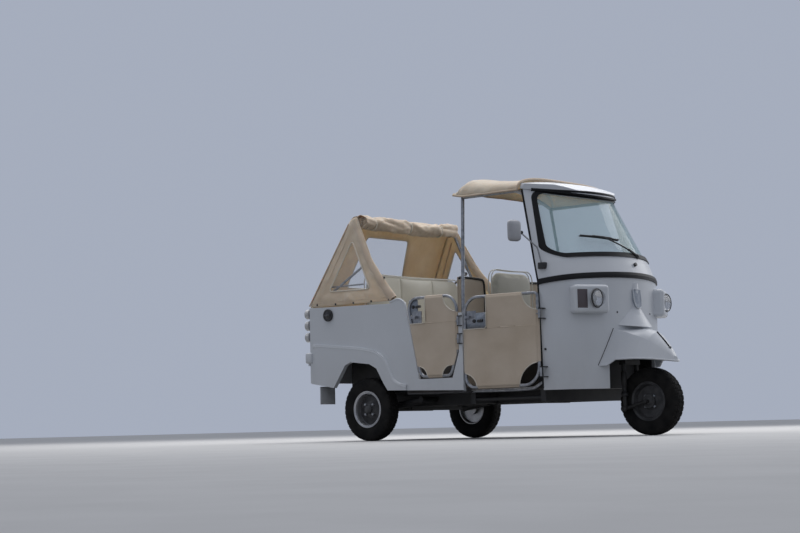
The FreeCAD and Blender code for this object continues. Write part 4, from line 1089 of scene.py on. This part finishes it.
def make_mirror():
    head = at(0.680, -0.800, 1.440)
    turn = Matrix.Rotation(math.radians(-10), 3, "Z")
    outline = rounded_box((-0.054, -0.075), (0.054, 0.075), 0.034, 8)

    def ring(depth, share):
        return [head + turn @ Vector((depth, *p.lerp(Vector((0, 0)), share))) for p in outline]

    shell = sheet_piece("mirror_shell", [ring(*step) for step in MIRROR_SHELL], GREY_PLASTIC, ring=True,
                        thickness=0)
    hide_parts("mirror")
    glass = [ring(-0.0215, 0.13), ring(-0.0215, 1.0)]
    sheet_piece("mirror_glass", glass, CHROME, ring=True, thickness=0.0006)
    elbow = at(0.742, -0.622, 1.330)
    arm = [head + Vector((0.014, 0.040, -0.008)), elbow + Vector((-0.006, -0.020, 0.010)),
           elbow + Vector((0.0, 0.0, -0.006)), at(0.756, -0.604, 1.210)]
    tube("mirror_arm", arm, 0.0055, GALVANISED, smooth=True)
    block("mirror_clamp", at(0.734, -0.622, 1.176), at(0.790, -0.580, 1.222), 0.006, PLASTIC)
    lathe("mirror_ball", [(0, 0.0), (0.002, 0.010), (0.010, 0.014), (0.018, 0.010), (0.020, 0.0)],
          head + Vector((0.012, 0.048, -0.010)), (0.5, 0.8, -0.2), PLASTIC, segments=20)


# Skin of the cab, by the same rounded plan as the solid

# Rising levels: height at the rear edge and at the nose, rear edge x, half width, nose x, nose radius
CAB_LEVELS = ((0.332, 0.332, 0.740, 0.602, 1.125, 0.880), (0.745, 0.760, 0.740, 0.612, 1.130, 0.900),
              (1.086, 1.132, 0.729, 0.612, 1.130, 0.900), (1.215, 1.262, 0.697, 0.599, 1.083, 0.844),
              (1.770, 1.715, 0.560, 0.545, 0.862, 0.500))
NOSE_ANGLE = math.radians(32)


def cab_plan_x(level, y):
    """How far forward the cab reaches at a distance from its mid-plane on one level."""
    edge_x, half, nose_x, radius = level[2:]
    y = min(abs(y), half - 0.0005)
    centre_x = nose_x - radius
    if y <= radius * math.sin(NOSE_ANGLE):
        return centre_x + math.sqrt(radius ** 2 - y ** 2)
    normal = Vector((math.cos(NOSE_ANGLE), math.sin(NOSE_ANGLE)))
    joint = Vector((centre_x, 0)) + normal * radius
    reach = Vector((edge_x, half)) - joint
    bend = reach.length_squared / (2 * reach.dot(normal))
    centre = joint + normal * bend
    return centre.x + math.sqrt(max(bend ** 2 - (y - centre.y) ** 2, 0.0))


def cab_skin(y, z, out=0.0):
    """Point of the cab's skin at a distance from its mid-plane and a height, or a little outside it."""
    low, high = 0.0, len(CAB_LEVELS) - 1.001
    for _ in range(40):
        share = (low + high) / 2
        first, second = CAB_LEVELS[int(share)], CAB_LEVELS[int(share) + 1]
        level = [lerp(a, b, share % 1) for a, b in zip(first, second)]
        x = cab_plan_x(level, y)
        height = lerp(level[0], level[1], (x - level[2]) / (level[4] - level[2]))
        if height < z:
            low = share
        else:
            high = share
    return at(x + out, y, z)


# Trim that the solids don't carry

# The cab's rear edge from the sill to the roof: x, y, z
SEAL_LINE = ((0.736, 0.600, 0.345), (0.736, 0.609, 0.745), (0.726, 0.609, 1.086), (0.693, 0.596, 1.215),
             (0.625, 0.570, 1.495), (0.557, 0.542, 1.766))
# Top edge of the swollen wing and the edge of the rear doorway: x, z
WING_RIDGE = ((-1.380, 0.750), (-1.2985, 0.744), (-1.10, 0.724), (-0.8895, 0.703), (-0.7455, 0.676),
              (-0.6515, 0.619), (-0.6075, 0.522), (-0.5515, 0.426), (-0.4375, 0.405))
DOORWAY_EDGE = ((-0.590, 1.028), (-0.520, 1.051), (-0.476, 1.040), (-0.446, 1.016), (-0.432, 0.960),
                (-0.380, 0.720), (-0.326, 0.460))
# Tube along the sill: x, y, z
SILL_TUBE = ((0.085, 0.575, 0.346), (0.120, 0.598, 0.343), (0.620, 0.598, 0.342), (0.680, 0.598, 0.356),
             (0.745, 0.590, 0.398))
CREST_STRIP = ((1.296, 0.721), (1.322, 0.692), (1.352, 0.660), (1.376, 0.631), (1.396, 0.607))
# Lower edge of the front mudguard from its foot to its tip: x, half width, z
MUDGUARD_LIP = ((1.000, 0.392, 0.492), (1.090, 0.337, 0.492), (1.140, 0.300, 0.533), (1.250, 0.232, 0.535),
                (1.298, 0.198, 0.533), (1.354, 0.150, 0.528), (1.406, 0.092, 0.520), (1.437, 0.044, 0.514),
                (1.457, 0.0, 0.511))
# Outer face of the rear panel, and the heights of its engine louvres
REAR_FACE = -1.436
LOUVRES = (0.560, 0.590, 0.620, 0.650, 0.680)
# Wiper blade on the glass, and where its arm turns: y, z
BLADE = ((-0.060, 1.388), (-0.140, 1.394), (-0.215, 1.400), (-0.290, 1.406), (-0.371, 1.412))
WIPER_PIVOT = (0.119, 1.2816)
# Turned shapes: distance outwards, radius
STUD = ((-0.004, 0.007), (0.002, 0.007), (0.004, 0.004), (0.0045, 0.0))
SCREW = ((-0.003, 0.008), (0.002, 0.008), (0.004, 0.005), (0.0045, 0.0))
KNOB = ((-0.004, 0.010), (0.004, 0.011), (0.009, 0.008), (0.011, 0.0))
# Black rubber flap behind the cab's edge, partly painted shade for the gap there: its two edges' x, and z
PILLAR_SHADE_FLAP = ((0.716, 0.737, 0.80), (0.702, 0.737, 0.60), (0.690, 0.737, 0.40), (0.690, 0.737, 0.352))


def side_block(name, side, low, high, bevel):
    """A painted block on one side, from corners given for the left side."""
    (x0, y0, z0), (x1, y1, z1) = low, high
    near, far = sorted((side * y0, side * y1))
    block(name, at(x0, near, z0), at(x1, far, z1), bevel, BODY_PAINT)


def make_edges(side, word):
    tube("cab_seal_" + word, [at(x, side * y, z) for x, y, z in SEAL_LINE], 0.008, RUBBER, sides=3)
    ridge = [at(x, side * 0.6975, z - 0.014) for x, z in WING_RIDGE]
    tube("wing_ridge_" + word, ridge, 0.0185, BODY_PAINT, smooth=True)
    bead = [at(x, side * 0.697, z) for x, z in DOORWAY_EDGE]
    tube("doorway_bead_" + word, bead, 0.0075, BODY_PAINT, smooth=True)
    tube("sill_tube_" + word, [at(x, side * y, z) for x, y, z in SILL_TUBE], 0.012, GALVANISED, smooth=True)
    side_block("mud_flap_" + word, side, (-1.336, 0.530, 0.288), (-1.328, 0.694, 0.425), 0.003)
    side_block("bumper_end_" + word, side, (-1.4695, 0.585, 0.606), (-1.400, 0.7175, 0.690), 0.016)
    # Dark rubber sheet behind the cab's edge, which also stands for the shade in that gap
    flap = [[at(x, side * 0.598, z) for x in spread(x0, x1, 4)] for x0, x1, z in PILLAR_SHADE_FLAP]
    sheet_piece("pillar_shade_flap_" + word, flap, RUBBER, thickness=0.004)
    lathe("cab_stud_" + word, STUD, cab_skin(side * 0.2058, 0.8658), (1, side * 0.25, 0), GLOSS_BLACK,
          segments=16)
    lathe("cab_screw_" + word, SCREW, at(0.772, side * 0.612, 0.615), (0, side, 0), CHASSIS,
          segments=16)


def make_mudguard_trim():
    """Strip and knob on the front mudguard's crest, its rolled foot and its seams with the cab."""
    tube("mudguard_strip", [at(x, 0, z) for x, z in CREST_STRIP], 0.0065, RUBBER, sides=3)
    x, z = CREST_STRIP[-1]
    lathe("mudguard_knob", KNOB, at(x, 0, z), (0.75, 0, 0.66), GLOSS_BLACK, segments=20)
    near = [at(x, RIGHT * half, z) for x, half, z in MUDGUARD_LIP]
    far = [at(x, LEFT * half, z) for x, half, z in MUDGUARD_LIP]
    tube("mudguard_lip", near + far[-2::-1], 0.0065, GUARD_PAINT, sides=3)
    for side, word in SIDES:
        seam = [cab_skin(side * y, z, 0.001) for y, z in line((0.373, 0.494), (0.247, 0.752), 20)]
        tube("mudguard_seam_" + word, seam, 0.0024, RUBBER, sides=3)


FILLER_RING = ((-0.012, 0.0465), (0.001, 0.0475), (0.003, 0.045), (0.002, 0.036), (-0.001, 0.034),
               (-0.001, 0.030), (0.003, 0.028), (0.004, 0.0))
REFLECTOR = ((-0.002, 0.030), (0.006, 0.030), (0.009, 0.027), (0.0095, 0.0))


def make_rear_dress():
    """Pressed panel, engine louvres, blank plate and reflectors on the tail, which the photograph hides."""
    face = REAR_FACE - 0.0006

    def plate(name, out, inward, half, low, high, bevel, finish):
        """A flat block that stands out from the tail and reaches inwards, about its mid-plane."""
        block(name, at(face - out, -half, low), at(face + inward, half, high), bevel, finish)

    pressing = rounded_box((-0.560, 0.960), (0.560, 0.530), 0.050, 8)
    tube("rear_pressing", [at(face, *p) for p in pressing], 0.0050, BODY_PAINT, closed=True, sides=3)
    for number, z in enumerate(LOUVRES):
        rows = []
        for turn in spread(0, math.pi, 8):
            reach, rise = 0.011 * math.sin(turn), 0.010 * math.cos(turn)
            rows.append([at(face + 0.002 - reach * (1 - abs(share) ** 6), 0.190 * share, z + rise)
                         for share in spread(-1, 1, 24)])
        sheet_piece("rear_louvre_%d" % number, rows, BODY_PAINT, thickness=0.001)
        # Painted shade: a dark strip in the opening under each louvre
        plate("rear_slot_%d" % number, 0.0016, 0.001, 0.184, z - 0.0115, z - 0.0075, 0.0, RUBBER)
    plate("rear_plate_blank", 0.010, -0.006, 0.170, 0.742, 0.872, 0.0014, GREY_PLASTIC)
    plate("rear_plate_holder", 0.0065, 0.001, 0.176, 0.736, 0.878, 0.003, PLASTIC)
    cap = at(-1.220, -0.7127, 0.968)
    lathe("filler_ring", FILLER_RING, cap, (0, -1, 0), PLASTIC, segments=56)
    block("filler_grip", cap + Vector((-0.026, -0.0105, -0.006)), cap + Vector((0.026, -0.003, 0.006)), 0.003,
          GLOSS_BLACK)
    for side, word in SIDES:
        lathe("rear_reflector_" + word, REFLECTOR, at(face, side * 0.500, 0.620), (-1, 0, 0), INDICATOR,
              segments=40)


# Outline of the blank shield: y, z
SHIELD = ((-0.047, 1.034), (0.047, 1.034), (0.046, 0.950), (0.030, 0.900), (-0.030, 0.900), (-0.046, 0.950))


def make_badge():
    """Blank shield plate on the nose, sunk in a thin rim."""
    face_x = 1.1475
    outline = loop_points(SHIELD, (0.014, 0.014, 0.014, 0.016, 0.016, 0.014), 6)
    middle = middle_of(outline)

    def raised(share, x):
        points = (p.lerp(middle, share) for p in outline)
        return [at(x - 2.6 * p.x ** 2 - 0.10 * (p.y - 0.96), *p) for p in points]

    steps = ((0.0, -0.014), (0.0, 0), (0.12, 0.0012), (0.20, -0.001), (0.6, 0), (1.0, 0))
    rows = [raised(share, face_x + rise) for share, rise in steps]
    sheet_piece("nose_shield", rows, LATCH, ring=True, thickness=0)
    tube("nose_shield_rim", raised(0.0, face_x + 0.001), 0.0032, BODY_PAINT, closed=True, sides=3)


def make_screen_band():
    """Thick black band over the windscreen, under the visor."""
    shares = [math.sin(math.pi * (k / 32 - 0.5)) for k in range(33)]
    points = [cab_skin(0.500 * share, 1.742 + 0.020 * share ** 2, 0.003) for share in shares]
    tube("screen_top_band", points, 0.0125, RUBBER)


def make_wiper():
    blade = [cab_skin(y, z, 0.020) for y, z in BLADE]
    middle = blade[2] + Vector((0.012, -0.004, 0.006))
    pivot = cab_skin(*WIPER_PIVOT, 0.014)

    def along(share, out):
        return pivot.lerp(middle, share) + Vector((out, 0, 0.004))

    lathe("wiper_hub", [(-0.024, 0.0), (-0.024, 0.021), (-0.006, 0.020), (0.008, 0.014), (0.012, 0.0)], pivot,
          (1, 0.15, 0.35), PLASTIC, segments=24)
    tube("wiper_arm_root", [pivot, along(0.30, 0.012)], 0.0085, PLASTIC)
    tube("wiper_arm", [pivot, along(0.25, 0.012), along(0.7, 0.010), middle], 0.0055, PLASTIC, smooth=True)
    for name, points, shift, radius, finish in (
        ("yoke", blade[1:4], (0.008, -0.002, 0.004), 0.0065, PLASTIC),
        ("blade", blade, (0.003, -0.001, 0.002), 0.0055, PLASTIC),
        ("rubber", blade, (-0.008, 0, -0.003), 0.0045, RUBBER),
    ):
        tube("wiper_" + name, [p + Vector(shift) for p in points], radius, finish, sides=3)


# Canvas screen between the cabin and the passengers, beside the driver's backrest: x, y, z of its rail
SCREEN_RAIL = ((0.010, 0.600, 1.168), (-0.030, 0.560, 1.182), (-0.038, 0.480, 1.183), (-0.038, 0.290, 1.179),
               (-0.038, 0.262, 1.165), (-0.038, 0.252, 1.100), (-0.038, 0.246, 0.700), (-0.038, 0.246, 0.352))


def make_screen(side, word):
    tube("screen_rail_" + word, [at(x, side * y, z) for x, y, z in SCREEN_RAIL], 0.009, CHASSIS, smooth=True)
    rows = []
    for rise in spread(0, 1, 24):
        z = lerp(0.380, 1.180, rise)
        row = []
        for share in spread(0, 1, 16):
            y = lerp(0.252, 0.592, share)
            slack = ripple((y * 1.5, z, side), 7.0) * 0.008 * math.sin(math.pi * rise)
            row.append(at(-0.040 + slack + 0.020 * share ** 4, side * y, z))
        rows.append(row)
    cloth = sheet_piece("cabin_screen_" + word, rows, CANVAS_FLAT_SHADED)


# Latches by door: the plate's lower and upper corner, and the lever's start, end and height
LATCHES = {
    "front": ((0.436, 0.788), (0.618, 0.900), (0.470, 0.512, 0.842)),
    "rear": ((0.384, 0.918), (0.470, 1.032), (0.352, 0.392, 0.978)),
}

LATCH_BOSS = ((-0.006, 0.013), (0.004, 0.013), (0.008, 0.009), (0.009, 0.0))


def make_latch(place, door, side):
    """Plate and lever handle inside the upper rear cut-out of a door."""
    low, high, (near, far, z) = LATCHES[place.split("_")[0]]
    body = "door_" + place
    plane = DoorPlane(door, side)
    centre = (Vector(low) + Vector(high)) / 2
    corners = rounded_box(low, high, 0.012, 5)
    rows = [[plane.point(*q.lerp(centre, share), out) for q in corners]
            for share, out in ((1.0, -0.008), (0.0, -0.008), (0.0, -0.005), (1.0, -0.005))]
    sheet_piece("latch_plate_" + place, rows, LATCH, body, ring=True, thickness=0)
    lever = [plane.point(near, z, 0.004), plane.point((near + far) / 2, z - 0.001, 0.006),
             plane.point(far, z - 0.002, 0.004)]
    tube("latch_lever_" + place, lever, 0.0105, PLASTIC, body, smooth=True)
    outwards = plane.point(0, 0, 1) - plane.point(0, 0, 0)
    lathe("latch_boss_" + place, LATCH_BOSS, plane.point(far + 0.034, z), outwards, PLASTIC, body,
          segments=24)


# Turned shapes on the fork: distance along, radius
FORK_DAMPER = ((0.0, 0.016), (0.004, 0.021), (0.105, 0.021), (0.108, 0.0165), (0.150, 0.0165), (0.153, 0.026),
               (0.175, 0.026), (0.178, 0.016))
FORK_PIVOT = ((0.0, 0.0), (0.0, 0.022), (0.012, 0.024), (0.018, 0.018), (0.020, 0.0))


def make_fork_detail(side, word):
    """Damper over a leg of the fork and the round end of its link."""
    top, foot = at(1.0575, side * 0.080, 0.455), at(1.060, side * 0.080, 0.250)
    lathe("fork_damper_" + word, FORK_DAMPER, top, foot - top, CHASSIS, "steering", segments=28)
    lathe("fork_pivot_" + word, FORK_PIVOT, at(1.060, side * 0.090, 0.190), (0, side, 0), CHASSIS, "steering",
          segments=28)


# Camera, light and stage

CAMERA_PLACE = at(7.8795, -10.202, 0.102)
CAMERA_YAW = math.radians(131.33)
CAMERA_PITCH = math.radians(5.35)
CAMERA_ROLL = math.radians(-1.4)
CAMERA_LENS = 77.0


def make_camera():
    forward = Vector((math.cos(CAMERA_YAW) * math.cos(CAMERA_PITCH),
                      math.sin(CAMERA_YAW) * math.cos(CAMERA_PITCH), math.sin(CAMERA_PITCH)))
    right = forward.cross(Vector((0, 0, 1))).normalized()
    up = right.cross(forward)
    rolled_right = right * math.cos(CAMERA_ROLL) + up * math.sin(CAMERA_ROLL)
    rolled_up = up * math.cos(CAMERA_ROLL) - right * math.sin(CAMERA_ROLL)
    data = bpy.data.cameras.new("photo_camera")
    data.lens = CAMERA_LENS
    data.sensor_width = 36.0
    data.sensor_fit = "HORIZONTAL"
    data.clip_end = 200.0
    camera = new_object("photo_camera", data)
    turn = Matrix((rolled_right, rolled_up, -forward)).transposed()
    camera.matrix_world = Matrix.Translation(CAMERA_PLACE) @ turn.to_4x4()
    bpy.context.scene.camera = camera


def soft_light(name, place, target, size, power, colour):
    data = bpy.data.lights.new(name, "AREA")
    data.size = size
    data.energy = power
    data.color = colour
    lamp = new_object(name, data)
    lamp.location = place
    lamp.rotation_euler = (target - place).to_track_quat("-Z", "Y").to_euler()


def seen_share(tree):
    """1 for rays from the camera, from gloss and through glass, and 0 for the light that a surface gets."""
    rays = tree.nodes.new("ShaderNodeLightPath").outputs
    seen = math_node(tree, "MAXIMUM", rays["Is Camera Ray"], rays["Is Glossy Ray"])
    return math_node(tree, "MAXIMUM", seen, rays["Is Transmission Ray"])


FLOOR_REACH = 60.0


def make_stage():
    scene = bpy.context.scene
    scene.view_settings.view_transform = "Standard"
    world = bpy.data.worlds.new("soft_sky")
    world.use_nodes = True
    tree = world.node_tree
    sky = tree.nodes.new("ShaderNodeMix")
    sky.data_type = "RGBA"
    sky.inputs["A"].default_value = (0.40, 0.42, 0.47, 1)
    sky.inputs["B"].default_value = (0.38, 0.42, 0.51, 1)
    tree.links.new(seen_share(tree), sky.inputs["Factor"])
    tree.links.new(sky.outputs["Result"], tree.nodes["Background"].inputs["Color"])
    scene.world = world
    target = at(0, 0, 0.8)
    soft_light("sky_panel", at(-2.0, 2.0, 7.0), target, 9.0, 520.0, (1.0, 0.98, 0.97))
    soft_light("far_panel", at(2.5, 8.0, 4.5), target, 5.0, 150.0, (1.0, 0.99, 0.98))

    mesh = bpy.data.meshes.new("floor")
    corners = ((-1, -1), (1, -1), (1, 1), (-1, 1))
    mesh.from_pydata([(x * FLOOR_REACH, y * FLOOR_REACH, 0) for x, y in corners], [], [(0, 1, 2, 3)])
    floor = new_object("floor", mesh)
    material, tree, shader = new_material("pale_floor")
    pale = ramp(tree, noise_value(tree, 3.0, 6.0), 0.35, 0.65, (0.58, 0.58, 0.575), (0.62, 0.62, 0.615))
    soft = ramp(tree, noise_value(tree, 3.0, 6.0), 0.35, 0.65, (0.20, 0.20, 0.195), (0.22, 0.22, 0.215))
    tree.links.new(mixed(tree, seen_share(tree), soft, pale), shader.inputs["Base Color"])
    shader.inputs["Roughness"].default_value = 0.9
    floor.data.materials.append(material)


dress_nodes()
for part, form in (("front", FRONT_DOOR), ("rear", REAR_DOOR)):
    for side, word in SIDES:
        make_door_canvas("%s_%s" % (part, word), form, side)
        make_latch("%s_%s" % (part, word), form, side)
for side, word in SIDES:
    make_edges(side, word)
    make_screen(side, word)
    make_fork_detail(side, word)
make_canopy()
make_hood()
make_seats()
make_wheels()
make_lamps()
make_mirror()
make_mudguard_trim()
make_rear_dress()
make_badge()
make_screen_band()
make_wiper()
make_camera()
make_stage()
